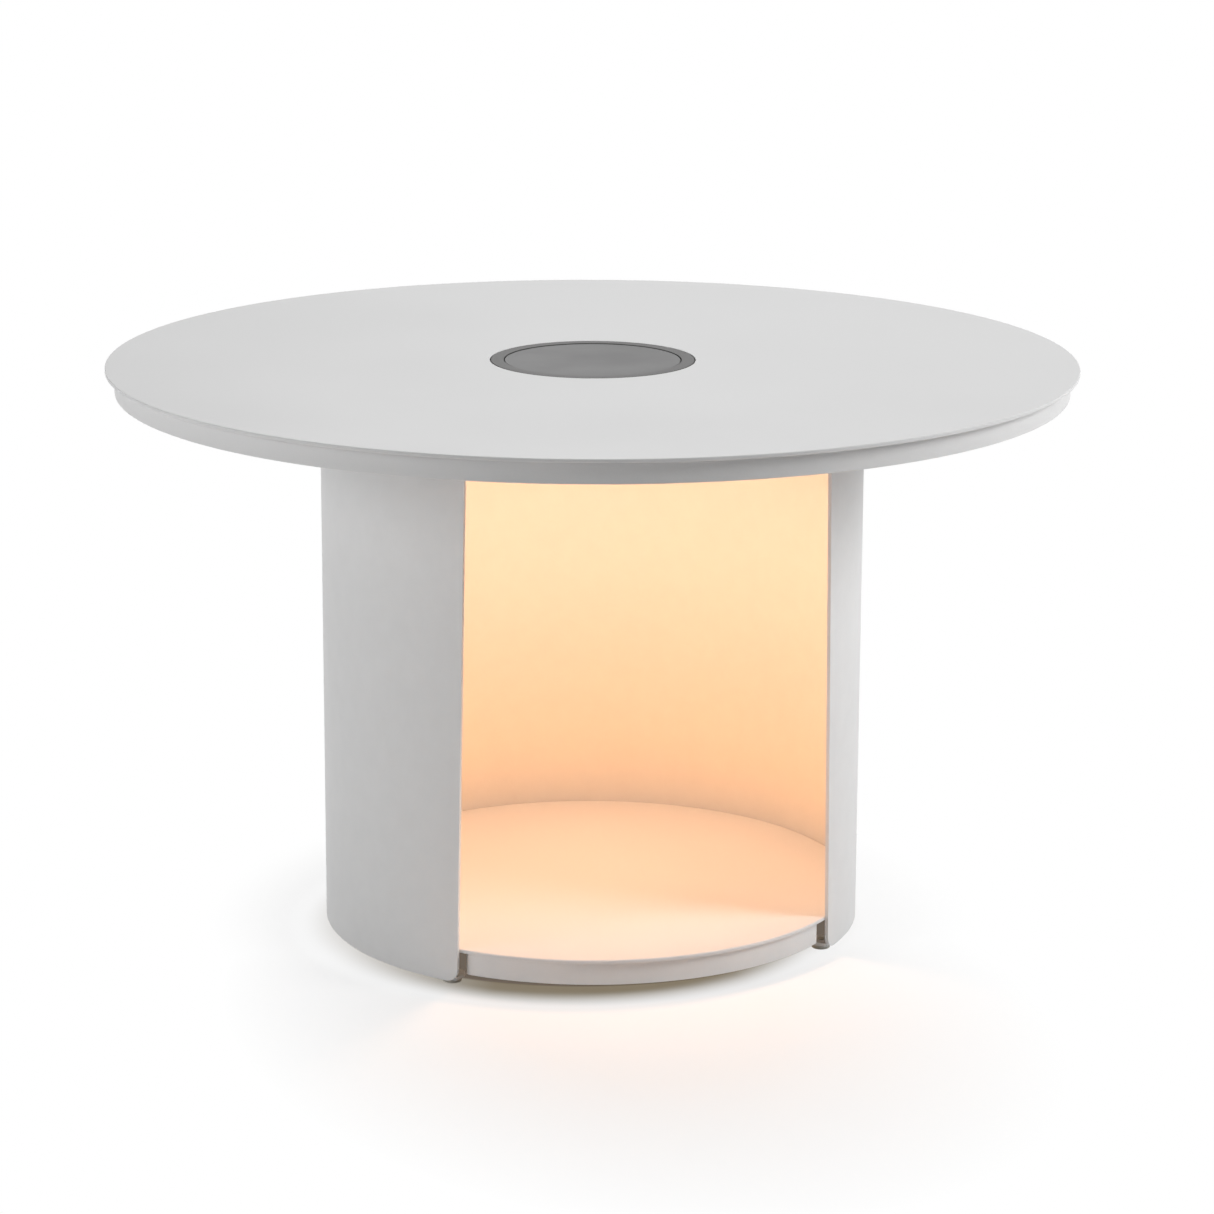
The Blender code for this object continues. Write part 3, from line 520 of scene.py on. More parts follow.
def folded(name, path, height, sheet, material):
    """Strip of sheet on a path in plan, from z = 0 up to a height, thickened to the path's left."""
    shape = bmesh.new()
    low = [shape.verts.new((x, y, 0)) for x, y in path]
    high = [shape.verts.new((x, y, height)) for x, y in path]
    strip(shape, low, high)
    return thickened(link(name, new_mesh(name, shape), material), sheet)


def thickened(ob, sheet):
    """Give an open surface its thickness, behind the side that it faces."""
    solidify = ob.modifiers.new("sheet", "SOLIDIFY")
    solidify.thickness = sheet
    solidify.offset = -1
    solidify.use_even_offset = True
    return settle(ob)


def rods(name, places, radius, low, high, sides):
    """Upright round rods at plan places, in one mesh."""
    shape = bmesh.new()
    for x, y in places:
        made = bmesh.ops.create_cone(
            shape, cap_ends=True, segments=sides, radius1=radius, radius2=radius, depth=high - low
        )
        bmesh.ops.translate(shape, verts=made["verts"], vec=(x, y, (low + high) / 2))
    return link(name, new_mesh(name, shape))


def combine(ob, other, operation):
    """Join another shape to an object, or cut with it, and drop the other shape."""
    boolean = ob.modifiers.new(operation.lower(), "BOOLEAN")
    boolean.operation = operation
    boolean.solver = "EXACT"
    boolean.object = other
    settle(ob)
    bpy.data.objects.remove(other, do_unlink=True)


def set_place(ob, location, turn=0.0):
    """Put a mesh that was built at the origin where it belongs."""
    rotation = Matrix.Rotation(math.radians(turn), 4, "Z")
    ob.data.transform(Matrix.Translation(location) @ rotation)
    return ob


def table_top():
    """Disc with softened rims, with the lamp's hole."""
    low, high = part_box("top_plate")
    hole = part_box("lamp_bezel")[1].x + running_gap
    corners = [(hole, low.z, hole_edge), (hole, high.z, hole_edge)]
    corners += [(high.x, high.z, plate_edge), (high.x, low.z, plate_edge)]
    show(turned("table_top", corners, round_sides, coat), "table", "coated_metal", "top_plate")


def skirt_ring():
    """Rolled ring set back under the disc's rim."""
    low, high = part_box("top_skirt")
    inner = high.x - rolled_sheet
    corners = [(inner, low.z, plate_edge), (inner, high.z, hair_edge)]
    corners += [(high.x, high.z, hair_edge), (high.x, low.z, plate_edge)]
    show(turned("skirt_ring", corners, round_sides, coat), "table", "coated_metal", "top_skirt")


def ribs():
    """Upright stiffeners under the overhang, each held by short weld beads."""
    inner = drum_radius + running_gap
    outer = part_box("top_skirt")[1].x - rolled_sheet - fit_gap
    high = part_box("top_rib_1")[1].z
    outline = filleted([
        (inner, high - rib_inner_depth, rib_nose_radius),
        (outer, high - rib_outer_depth, rib_nose_radius),
        (outer, high, 0),
        (inner, high, 0),
    ])
    for index in range(rib_count):
        # A rib is drawn along +X, a quarter turn from the front
        turn = 360 / rib_count * index - 90
        rib = flat(f"rib_{index + 1}", [outline], rib_sheet, coat)
        rib.data.transform(Matrix.Rotation(math.pi / 2, 4, "X"))
        set_place(rib, (0, 0, 0), turn)
        show(soften(rib), "table", "coated_metal", f"top_rib_{index + 1}")
        beads = []
        for side in (-1, 1):
            start = inner + bead_inset
            while start + bead_length < outer:
                places = (start, start + bead_length)
                beads.append([Vector((place, side * rib_sheet / 2, high)) for place in places])
                start += bead_pitch
        weld = bead_mesh(f"rib_weld_{index + 1}", beads)
        set_place(weld, (0, 0, 0), turn)
        show(weld, "table", "coated_metal")


def bead_mesh(name, runs):
    """Coated weld beads along straight runs, with the low ripples of the pool."""
    shape = bmesh.new()
    up = Vector((0, 0, 1))
    turns = [math.tau * index / bead_sides for index in range(bead_sides)]
    for start, end in runs:
        count = round((end - start).length / bead_ring_gap)
        side = up.cross((end - start).normalized())
        rings = []
        for step in range(count + 1):
            share = step / count
            inside = min(max(share, bead_end_share), 1 - bead_end_share)
            taper = math.sin(math.pi * inside) ** bead_end_power
            radius = bead_radius * taper + bead_swell * (1 if step % 2 else -1)
            centre = start.lerp(end, share)
            spokes = [(side * math.cos(turn) + up * math.sin(turn)) * radius for turn in turns]
            rings.append([shape.verts.new(centre + spoke) for spoke in spokes])
        for ring, after in zip(rings, rings[1:]):
            for index in range(bead_sides):
                shape.faces.new((ring[index], ring[index - 1], after[index - 1], after[index]))
        shape.faces.new(rings[0])
        shape.faces.new(rings[-1][::-1])
    return settle(link(name, new_mesh(name, shape), coat))


def edge_angle(height):
    """Half angle of the opening at a height: it narrows towards the top."""
    share = (height - wall_low) / (wall_high - wall_low)
    return (opening_bottom_angle + (opening_top_angle - opening_bottom_angle) * share) / 2


def wall_columns():
    """Lower angle, lower height and upper angle of each column, from edge to edge."""
    columns = []
    plain = edge_angle(wall_low) + math.degrees(wall_corner_radius / drum_radius) + wall_step
    # Rounded corner, with columns that lean with the opening's edge and then less and less
    for step in range(wide_arc_steps + 1):
        turn = math.pi / 2 * step / wide_arc_steps
        along = math.degrees(wall_corner_radius * (1 - math.cos(turn)) / drum_radius)
        height = wall_low + wall_corner_radius * (1 - math.sin(turn))
        low_angle = edge_angle(height) + along
        share = (low_angle - edge_angle(wall_low)) / (plain - edge_angle(wall_low))
        high_angle = edge_angle(wall_high) + (plain - edge_angle(wall_high)) * max(share, 0)
        columns.append((low_angle, height, high_angle))
    # Upright columns, and then the first corner mirrored
    count = math.ceil((360 - 2 * plain) / wall_step)
    for step in range(count + 1):
        angle = plain + (360 - 2 * plain) * step / count
        columns.append((angle, wall_low, angle))
    for low_angle, height, high_angle in columns[wide_arc_steps::-1]:
        columns.append((360 - low_angle, height, 360 - high_angle))
    return columns


def drum_shell():
    """C-shaped sheet with leaning edges and rounded lower corners."""
    shape = bmesh.new()
    low, high = [], []
    for low_angle, height, high_angle in wall_columns():
        low.append(shape.verts.new((*polar(drum_radius, low_angle), height)))
        high.append(shape.verts.new((*polar(drum_radius, high_angle), wall_high)))
    strip(shape, low, high)
    shell = thickened(link("drum_shell", new_mesh("drum_shell", shape), coat), rolled_sheet)
    show(soften(shell), "table", "coated_metal", "drum_wall")


def head_ring():
    """Mounting ring in the head of the drum."""
    low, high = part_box("drum_flange")
    outer = drum_radius - rolled_sheet - fit_gap
    inner = outer - flange_width
    corners = [(inner, low.z, soft_edge), (inner, high.z, soft_edge)]
    corners += [(outer, high.z, 0), (outer, low.z, 0)]
    show(turned("head_ring", corners, round_sides, coat), "table", "coated_metal", "drum_flange")


def studs_and_nuts():
    """Threaded studs with chamfered hexagon nuts."""
    radius = stud_diameter / 2
    root = radius - thread_depth
    for index in range(1, stud_count + 1):
        low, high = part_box(f"flange_stud_{index}")
        nut_low, nut_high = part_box(f"flange_nut_{index}")
        centre = middle(f"flange_stud_{index}")
        corners = [(0, high.z - low.z, 0), (radius, high.z - low.z, 0)]
        # Each pitch of the thread has a crest and a root
        count = int((nut_low.z - low.z) / thread_pitch * 2)
        for step in range(count, 0, -1):
            corners.append((radius if step % 2 else root, step * thread_pitch / 2, 0))
        corners += [(root, 0, 0), (0, 0, 0)]
        stud = turned(f"stud_{index}", corners, small_sides, steel, closed=False)
        set_place(stud, (*centre, low.z))
        show(stud, "table", "plated_steel", f"flange_stud_{index}")

        across = max(nut_high.x - nut_low.x, nut_high.y - nut_low.y) / 2
        height = nut_high.z - nut_low.z
        outlines = [circle(across, hexagon_sides), circle(radius + fit_gap, small_sides)]
        nut = flat(f"nut_{index}", outlines, height, steel)
        half = height / 2
        face, edge = across - nut_chamfer, half - nut_chamfer / 2
        limit = [(0, half, 0), (face, half, 0), (across, edge, 0)]
        limit += [(across, -edge, 0), (face, -half, 0), (0, -half, 0)]
        combine(nut, turned("nut_limit", limit, small_sides, steel, closed=False), "INTERSECT")
        set_place(nut, (*centre, nut_low.z + half), nut_turn * (index - 1))
        show(nut, "table", "plated_steel", f"flange_nut_{index}")


def niche_floor():
    """Floor disc inside the drum."""
    low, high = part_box("floor_plate")
    outer = drum_radius - rolled_sheet - fit_gap
    corners = [(0, high.z, 0), (outer, high.z, lip_edge), (outer, low.z, soft_edge), (0, low.z, 0)]
    plate = turned("niche_floor", corners, round_sides, coat, closed=False)
    show(plate, "table", "coated_metal", "floor_plate")


def apron():
    """Band under the floor's front edge, with its ends folded inwards."""
    low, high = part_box("floor_band")
    radius = -low.y
    half = edge_angle(high.z) - math.degrees(band_end_gap / radius)
    bend = math.degrees(band_bend_radius / radius)
    steps = math.ceil(2 * half / wall_step)
    path = [polar(radius, (half - bend) * (2 * step / steps - 1)) for step in range(steps + 1)]
    turn = math.radians(half)
    out, across = Vector(polar(1, half)), Vector((math.cos(turn), math.sin(turn)))
    centre = Vector(polar(radius - band_bend_radius, half - bend))
    # One end's quarter bend and its return, which the other end mirrors
    bow = []
    for step in range(1, corner_steps + 1):
        swing = math.pi / 2 * step / corner_steps
        spoke = (out * math.cos(swing) + across * math.sin(swing)) * band_bend_radius
        bow.append(tuple(centre + spoke))
    bow.append(polar(radius - band_return, half))
    path = [(-x, y) for x, y in bow[::-1]] + path + bow
    band = folded("apron", path, high.z - low.z, band_sheet, coat)
    set_place(band, (0, 0, low.z))
    show(soften(band), "table", "coated_metal", "floor_band")


def ledges():
    """Angle brackets on the wall that carry the floor."""
    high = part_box("floor_ledge_1")[1].z
    half = ledge_width / 2
    back = math.sqrt((drum_radius - rolled_sheet) ** 2 - half ** 2) - fit_gap
    for index, angle in enumerate(ledge_angles):
        path = filleted([
            (high, back - ledge_reach, 0),
            (high, back, ledge_bend_radius),
            (high - ledge_drop, back, 0),
        ])
        ledge = folded(f"ledge_{index + 1}", path, ledge_width, ledge_sheet, coat)
        turn = math.radians(angle)
        start = Vector((-half * math.cos(turn), -half * math.sin(turn), 0))
        rotation = Matrix.Rotation(math.pi + turn, 4, "Z") @ Matrix.Rotation(-math.pi / 2, 4, "Y")
        ledge.data.transform(Matrix.Translation(start) @ rotation)
        show(soften(ledge), "table", "coated_metal", f"floor_ledge_{index + 1}")


def feet():
    """Flat tabs at the wall's lower edge, with their turned glides."""
    fit = drum_radius - rolled_sheet - fit_gap
    half = edge_angle(wall_low) + math.degrees((tab_length / 2 + tab_gap) / drum_radius)
    reach = math.degrees(tab_length / 2 / fit)
    edge = arc(fit, -90 - reach, -90 + reach, wide_arc_steps)
    inner = fit - tab_width
    corner = inner * math.sin(math.radians(reach))
    inside = filleted([
        (*edge[-1], 0),
        (corner, -inner, tab_corner_radius),
        (-corner, -inner, tab_corner_radius),
        (*edge[0], 0),
    ])[1:-1]
    for index, angle in enumerate([-half, half, foot_back_angle, -foot_back_angle]):
        low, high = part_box(f"foot_tab_{index + 1}")
        tab = flat(f"tab_{index + 1}", [edge + inside], high.z - low.z, coat)
        set_place(tab, (0, 0, (low.z + high.z) / 2), angle)
        show(soften(tab), "table", "coated_metal", f"foot_tab_{index + 1}")

        low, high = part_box(f"glide_{index + 1}")
        pad, seat = (high.x - low.x) / 2, wall_low - fit_gap
        shank = pad / glide_shank_ratio
        corners = [(0, high.z, 0), (shank, high.z, soft_edge), (shank, seat, 0)]
        corners += [(pad, seat, soft_edge), (pad, 0, glide_edge), (0, 0, 0)]
        name = f"glide_foot_{index + 1}"
        glide = turned(name, corners, pad_sides, glide_plastic, closed=False)
        set_place(glide, (*middle(f"glide_{index + 1}"), 0))
        show(glide, "table", "glide_plastic", f"glide_{index + 1}")


def seat_ring():
    """Stepped ring under the hole, on which the lamp rests."""
    low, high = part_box("lamp_seat")
    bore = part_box("lamp_housing")[1].x + running_gap + fit_gap
    step = bore + seat_ledge_width
    ledge = low.z + seat_sheet
    corners = [
        (bore, low.z, soft_edge), (bore, ledge, soft_edge), (step, ledge, 0), (step, high.z, 0),
        (high.x, high.z, 0), (high.x, high.z - seat_sheet, soft_edge),
        (step + seat_sheet, high.z - seat_sheet, 0), (step + seat_sheet, low.z, soft_edge),
    ]
    show(turned("seat_ring", corners, lamp_sides, coat), "table", "coated_metal", "lamp_seat")


def lamp_head():
    """Bezel with its pillars, the etched glass disc and the flat seal."""
    low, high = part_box("lamp_bezel")
    glass_low, glass_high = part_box("solar_glass")
    bore = glass_high.x + glass_seam
    rim, spigot = high.z - bezel_thickness, high.x - bezel_rim_width
    shelf = glass_low.z - seat_gap
    under, inner = shelf - shelf_thickness, bore - shelf_width
    corners = [
        (bore, shelf, 0), (bore, high.z, bezel_edge), (high.x, high.z, bezel_edge),
        (high.x, rim, hole_edge), (spigot, rim, 0), (spigot, rim - spigot_depth, hole_edge),
        (bore, rim - spigot_depth, 0), (bore, under, 0), (inner, under, 0), (inner, shelf, 0),
    ]
    bezel = turned("bezel_ring", corners, lamp_sides, moulding)
    places = [polar(inner - pillar_inset, angle) for angle in pillar_angles]
    radius = pillar_diameter / 2
    pillars = rods("pillars", places, radius, low.z, under + overlap, small_sides)
    combine(bezel, pillars, "UNION")
    show(bezel, "lamp", "dark_moulding", "lamp_bezel")

    corners = [(0, glass_high.z, 0), (glass_high.x, glass_high.z, glass_edge)]
    corners += [(glass_high.x, glass_low.z, 0), (0, glass_low.z, 0)]
    glass = turned("glass_disc", corners, lamp_sides, etched_glass, closed=False)
    show(glass, "lamp", "etched_glass", "solar_glass")

    low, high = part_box("lamp_gasket")
    bore = spigot + 2 * running_gap
    corners = [(bore, low.z, hair_edge), (bore, high.z, hair_edge)]
    corners += [(high.x, high.z, hair_edge), (high.x, low.z, hair_edge)]
    show(turned("flat_seal", corners, lamp_sides, rubber), "lamp", "seal_rubber", "lamp_gasket")


def lamp_cup():
    """Moulded cup with its tongue, light shield, bosses, webs and posts, and its holes."""
    low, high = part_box("lamp_housing")
    floor, sunk = low.z + housing_wall, low.z + housing_wall / 2
    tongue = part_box("solar_glass")[1].x + seat_gap - running_gap
    rim = high.z - tongue_height
    foot = high.x - housing_draft
    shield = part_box("diffuser")[1].x + running_gap
    shield_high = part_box("led_board")[1].z - board_sheet - seat_gap
    corners = [
        (tongue - tongue_sheet, high.z, fine_edge), (tongue, high.z, fine_edge), (tongue, rim, 0),
        (high.x, rim, hole_edge), (foot, low.z, housing_corner_radius),
        (dish_hole, low.z, hole_edge), (dish_hole, floor, 0), (shield, floor, 0),
        (shield, shield_high, 0), (shield + shield_sheet, shield_high, 0),
        (shield + shield_sheet, floor, 0),
        (foot - housing_wall, floor, housing_corner_radius - housing_wall),
        (tongue - tongue_sheet, rim - tongue_height, 0),
    ]
    cup = turned("lamp_cup", corners, lamp_sides, moulding)

    # Bosses under the bezel's pillars, webs from them to the wall, and posts for the boards
    boss_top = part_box("lamp_bezel")[0].z - seat_gap
    places = [middle(f"housing_screw_{index}") for index in range(1, screw_count + 1)]
    bosses = rods("bosses", places, pillar_diameter / 2, sunk, boss_top, small_sides)
    combine(cup, bosses, "UNION")
    web_end, web_top, half = foot - housing_wall / 2, boss_top - web_sheet, web_sheet / 2
    for x, y in places:
        start = math.hypot(x, y)
        outline = [(start, -half), (web_end, -half), (web_end, half), (start, half)]
        web = flat("web", [outline], web_top - sunk, moulding)
        set_place(web, (0, 0, (web_top + sunk) / 2), math.degrees(math.atan2(y, x)))
        combine(cup, web, "UNION")
    posts = [(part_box("battery_tray")[0].z, tray_posts())]
    posts.append((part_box("switch_body")[1].z, control_posts()))
    for seat, spots in posts:
        combine(cup, rods("posts", spots, post_diameter / 2, sunk, seat, small_sides), "UNION")

    # Recesses for the screws' heads, and the button's bore
    below = low.z - overlap
    recess, seat = screw_head_radius + seat_gap, low.z + screw_head_height + seat_gap
    combine(cup, rods("recesses", places, recess, below, seat, small_sides), "DIFFERENCE")
    centre, bore = (0, middle("switch_button")[1]), button_radius + seat_gap
    combine(cup, rods("bore", [centre], bore, below, floor + overlap, bore_sides), "DIFFERENCE")
    show(cup, "lamp", "dark_moulding", "lamp_housing")


def post_reach():
    """Distance of the posts from the lamp's axis, just outside the light shield."""
    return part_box("diffuser")[1].x + 2 * running_gap + shield_sheet + post_diameter / 2


def tray_posts():
    """Plan places of the posts under the battery tray, outside its corners."""
    angle = 90 - tray_diagonal_angle
    places = [polar(post_reach(), side * angle) for side in (-1, 1)]
    return places + [(x, -y) for x, y in places]


def control_posts():
    """Plan places of the posts under the control board's ends."""
    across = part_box("control_board")[1].x - control_post_inset
    return [(side * across, -(post_reach() + seat_gap)) for side in (-1, 1)]


def screws():
    """Cap screws with a hexagon socket."""
    for index in range(1, screw_count + 1):
        low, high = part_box(f"housing_screw_{index}")
        height, seat = high.z - low.z, screw_head_height
        corners = [(0, height, 0), (screw_radius, height, 0), (screw_radius, seat, 0)]
        corners += [(screw_head_radius, seat, hair_edge), (screw_head_radius, 0, fine_edge)]
        corners.append((0, 0, 0))
        screw = turned(f"cap_screw_{index}", corners, small_sides, steel, closed=False)
        hexagon = circle(screw_socket / 2, hexagon_sides)
        combine(screw, flat("socket", [hexagon], 2 * screw_socket_depth, steel), "DIFFERENCE")
        set_place(screw, (*middle(f"housing_screw_{index}"), low.z), screw_turn * index)
        show(screw, "lamp", "plated_steel", f"housing_screw_{index}")


def opal_dish():
    """Lit dish in the lamp's underside."""
    low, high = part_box("diffuser")
    radius = dish_hole - running_gap
    inner = radius - dish_wall
    seat = high.z - dish_wall
    base = low.z + dish_bulge
    outside, inside = [], []
    for step in range(dish_steps + 1):
        turn = math.pi / 2 * step / dish_steps
        across, drop = math.cos(turn), dish_bulge * math.sin(turn)
        outside.append((radius * across, base - drop, 0))
        inside.append((inner * across, base + dish_wall - drop, 0))
    outside[-1], inside[-1] = (0, outside[-1][1], 0), (0, inside[-1][1], 0)
    corners = inside[::-1] + [(inner, high.z, 0), (high.x, high.z, 0), (high.x, seat, 0)]
    corners += [(radius, seat, 0)] + outside
    dish = turned("opal_dish", corners, lamp_sides, opal, closed=False)
    show(dish, "lamp", "opal_diffuser", "diffuser")


def button_cap():
    """Soft push button with a dished face."""
    low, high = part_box("switch_button")
    collar = (high.x - low.x) / 2
    collar_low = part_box("diffuser_seal")[0].z
    collar_high = collar_low + button_collar_sheet
    face = low.z + button_dish
    corners = [
        (0, high.z, 0), (button_stem_radius, high.z, 0), (button_stem_radius, collar_high, 0),
        (collar, collar_high, 0), (collar, collar_low, 0), (button_radius, collar_low, 0),
        (button_radius, low.z, button_edge),
        (button_radius * button_rim_share, low.z, button_dish_edge),
        (button_radius * button_face_share, face, button_dish_edge), (0, face, 0),
    ]
    cap = turned("button_cap", corners, pad_sides, button_rubber, closed=False)
    set_place(cap, (*middle("switch_button"), 0))
    show(cap, "button", "button_rubber", "switch_button")


def make_material(name):
    """Material, its node tree and its Principled shader."""
    material = bpy.data.materials.new(name)
    material.use_nodes = True
    return material, material.node_tree, material.node_tree.nodes["Principled BSDF"]


def fill(tree, shader_node, inputs):
    """Set a node's inputs, or link those that are given as sockets."""
    for key, value in inputs.items():
        if isinstance(value, bpy.types.NodeSocket):
            tree.links.new(value, shader_node.inputs[key])
        else:
            shader_node.inputs[key].default_value = value


def node(tree, kind, inputs, **settings):
    """Add a shader node with its inputs set or linked."""
    made = tree.nodes.new("ShaderNode" + kind)
    for key, value in settings.items():
        setattr(made, key, value)
    fill(tree, made, inputs)
    return made


def maths(tree, operation, first, second):
    """Result of a Math node on two values or sockets."""
    return node(tree, "Math", {0: first, 1: second}, operation=operation).outputs[0]


def object_place(tree):
    """Position in the object's own space, which moves with its body."""
    return node(tree, "TexCoord", {}).outputs["Object"]


def object_noise(tree, scale, detail=2.0, roughness=0.5):
    """Noise in the object's own space."""
    vector = object_place(tree)
    inputs = {"Vector": vector, "Scale": scale, "Detail": detail, "Roughness": roughness}
    return node(tree, "TexNoise", inputs).outputs["Fac"]


def faded(tree, value, reach, low, high, kind="SMOOTHSTEP"):
    """Go from one level to another while a value goes through its reach."""
    keys = ("Value", "From Min", "From Max", "To Min", "To Max")
    inputs = dict(zip(keys, (value, *reach, low, high)))
    return node(tree, "MapRange", inputs, interpolation_type=kind).outputs["Result"]


def spread(tree, noise, low=0, high=1):
    """Map noise to a range."""
    return faded(tree, noise, noise_range, low, high, "LINEAR")


def rgba(colour):
    """Opaque colour, or a socket as it is."""
    return colour if isinstance(colour, bpy.types.NodeSocket) else (*colour, 1)


def blended(tree, factor, first, second):
    """Mix two colours or colour sockets."""
    inputs = {"Factor": factor, mix_first: rgba(first), mix_second: rgba(second)}
    return node(tree, "Mix", inputs, data_type="RGBA").outputs[mix_result]


def shaded(colour, amount):
    """Colour made lighter or darker by a share."""
    return tuple(min(channel * amount, 1.0) for channel in colour)


def varied(tree, factor, colour, shades):
    """Colour that wanders between two shades of itself."""
    return blended(tree, factor, shaded(colour, shades[0]), shaded(colour, shades[1]))


def bumped(tree, *layers):
    """Stack bumps given as height socket, strength and depth."""
    normal = None
    for height, strength, depth in layers:
        inputs = {"Height": height, "Strength": strength, "Distance": depth}
        if normal is not None:
            inputs["Normal"] = normal
        normal = node(tree, "Bump", inputs).outputs["Normal"]
    return normal


def edge_highlight_and_wear(tree):
    """Share of edge lightening, partly wear and partly painted highlight: 0 on plain parts up to 1
    on the crests of rounded edges, broken up by wear.
    """
    crest = node(tree, "Attribute", {}, attribute_name="crest").outputs["Fac"]
    wear = spread(tree, object_noise(tree, **wear_noise), *wear_range)
    return maths(tree, "MULTIPLY", crest, wear)


def powder_coat(name):
    """Fine powder coat: orange peel, faint clouds, and edges lightened as partly wear and partly
    painted highlight.
    """
    material, tree, shader = make_material(name)
    clouds = object_noise(tree, **coat_clouds)
    grain = object_noise(tree, **coat_grain)
    peel = object_noise(tree, **coat_peel)
    base = varied(tree, clouds, coat_colour, coat_shades)
    # Lighter colour on edge crests, partly wear and partly painted highlight
    speckle, crest = (shaded(coat_colour, share) for share in (coat_speckle_shade, coat_edge_highlight_and_wear))
    speckled = blended(tree, spread(tree, grain), base, speckle)
    fill(tree, shader, {
        "Base Color": blended(tree, edge_highlight_and_wear(tree), speckled, crest),
        "Roughness": spread(tree, clouds, *coat_roughness),
        "Normal": bumped(tree, (peel, *coat_peel_bump), (grain, *coat_grain_bump)),
        "IOR": coat_ior,
    })
    return material


def moulded(name):
    """Moulded plastic or rubber with a spark-eroded grain, and paler edges that are partly wear and
    partly painted highlight.
    """
    colour, roughness, scale, depth = mouldings[name]
    material, tree, shader = make_material(name)
    grain = object_noise(tree, scale, **moulding_grain)
    clouds = object_noise(tree, **moulding_clouds)
    base = varied(tree, spread(tree, clouds), colour, moulding_shades)
    lowest, highest = roughness - moulding_sheen_spread, roughness + moulding_sheen_spread
    fill(tree, shader, {
        "Base Color": blended(tree, edge_highlight_and_wear(tree), base, shaded(colour, moulding_edge_highlight_and_wear)),
        "Roughness": spread(tree, grain, lowest, highest),
        "Normal": bumped(tree, (grain, moulding_grain_strength, depth)),
        "IOR": moulding_ior,
    })
    return material


def plated(name):
    """Zinc or nickel plating with passivation tints."""
    colour, roughness = platings[name]
    material, tree, shader = make_material(name)
    clouds = object_noise(tree, **plating_clouds)
    grain = object_noise(tree, **plating_grain)
    lowest, highest = (roughness + change for change in plating_sheen_spread)
    fill(tree, shader, {
        "Base Color": varied(tree, spread(tree, clouds), colour, plating_shades),
        "Roughness": spread(tree, clouds, lowest, highest),
        "Metallic": 1.0,
        "Normal": bumped(tree, (grain, *plating_bump)),
    })
    return material


def etched(name):
    """Acid-etched dark glass over the cell, with a fine satin tooth."""
    material, tree, shader = make_material(name)
    tooth = object_noise(tree, **glass_tooth)
    clouds = object_noise(tree, **glass_clouds)
    fill(tree, shader, {
        "Base Color": varied(tree, spread(tree, clouds), glass_colour, glass_shades),
        "Roughness": spread(tree, clouds, *glass_roughness),
        "Normal": bumped(tree, (tooth, *glass_bump)),
        "IOR": glass_ior,
    })
    return material


def lit_opal(name):
    """Opal plastic lit from behind: a broad bright centre with a soft rim."""
    material, tree, shader = make_material(name)
    grain = object_noise(tree, **opal_grain)
    place = node(tree, "SeparateXYZ", {"Vector": object_place(tree)})
    squares = [maths(tree, "POWER", place.outputs[axis], 2) for axis in ("X", "Y")]
    reach = maths(tree, "POWER", maths(tree, "ADD", *squares), 1 / 2)
    fall = faded(tree, reach, (0, dish_hole), 1, opal_rim_strength)
    fill(tree, shader, {
        "Base Color": rgba(opal_colour),
        "Emission Color": rgba(opal_glow),
        "Emission Strength": maths(tree, "MULTIPLY", fall, opal_strength),
        "Roughness": spread(tree, grain, *opal_roughness),
        "Normal": bumped(tree, (grain, *opal_bump)),
    })
    return material


def board(name):
    """Printed board: solder mask over faint straight tracks."""
    colour, track_colour = boards[name]
    material, tree, shader = make_material(name)
    inputs = {"Vector": object_place(tree), "Scale": track_scale, "Mortar Size": track_width}
    tracks = node(tree, "TexBrick", inputs, offset=track_offset).outputs["Fac"]
    fill(tree, shader, {
        "Base Color": blended(tree, tracks, colour, track_colour),
        "Roughness": spread(tree, object_noise(tree, **board_grain), *board_roughness),
        "Normal": bumped(tree, (tracks, *board_bump)),
    })
    return material


def dress_inner_nodes():
    """Materials of the CAD nodes that stay, inside the lamp."""
    finishes = {
        "solar_cell": cell_laminate,
        "diffuser_seal": rubber,
        "led_board": board_white,
        "battery_tray": moulding,
        "battery_cell_1": battery_wrap,
        "battery_cell_2": battery_wrap,
        "battery_cell_3": battery_wrap,
        "battery_contact_1": nickel,
        "battery_contact_2": nickel,
        "control_board": board_green,
        "switch_body": moulding,
        "solar_lead": sheath,
        "led_lead": sheath,
    }
    for name, material in finishes.items():
        frame["nodes"][name].material_slots[0].material = material


def area_light(name, size, power, colour, location, back):
    """Soft light that shines away from its back and isn't seen itself."""
    data = bpy.data.lights.new(name, "AREA")
    data.shape = "DISK"
    data.size = size
    data.energy = power
    data.color = colour
    light = bpy.data.objects.new(name, data)
    bpy.context.scene.collection.objects.link(light)
    light.location = location
    light.rotation_euler = back.to_track_quat("Z", "Y").to_euler()
    light.visible_camera = False
    return light


def studio_lights():
    """Soft panels round the table, and the warm lights that go with the lamp and the floor."""
    bpy.context.scene.view_settings.view_transform = "Standard"
    for name, (azimuth, elevation, power) in panels.items():
        rise = math.radians(elevation)
        x, y = polar(math.cos(rise), azimuth)
        back = Vector((x, y, math.sin(rise)))
        centre = Vector((0, 0, panel_aim)) + back * panel_distance
        panel = area_light(name, panel_size, power, white, centre, back)
        panel.visible_glossy = name not in unmirrored_panels
    up, down = Vector((0, 0, 1)), Vector((0, 0, -1))
    centre = Vector((0, 0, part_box("diffuser")[0].z - light_gap))
    glow = area_light("lamp_glow", 2 * glow_radius, glow_power, glow_colour, centre, up)
    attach(glow, "lamp")
    centre = Vector((0, 0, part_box("floor_plate")[1].z + light_gap))
    bounce = area_light("bounce", 2 * bounce_radius, bounce_power, bounce_colour, centre, down)
    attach(bounce, "table")
    centre = Vector((0, 0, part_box("floor_plate")[0].z - light_gap))
    leak = area_light("leak", 2 * leak_radius, leak_power, leak_colour, centre, up)
    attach(leak, "table")


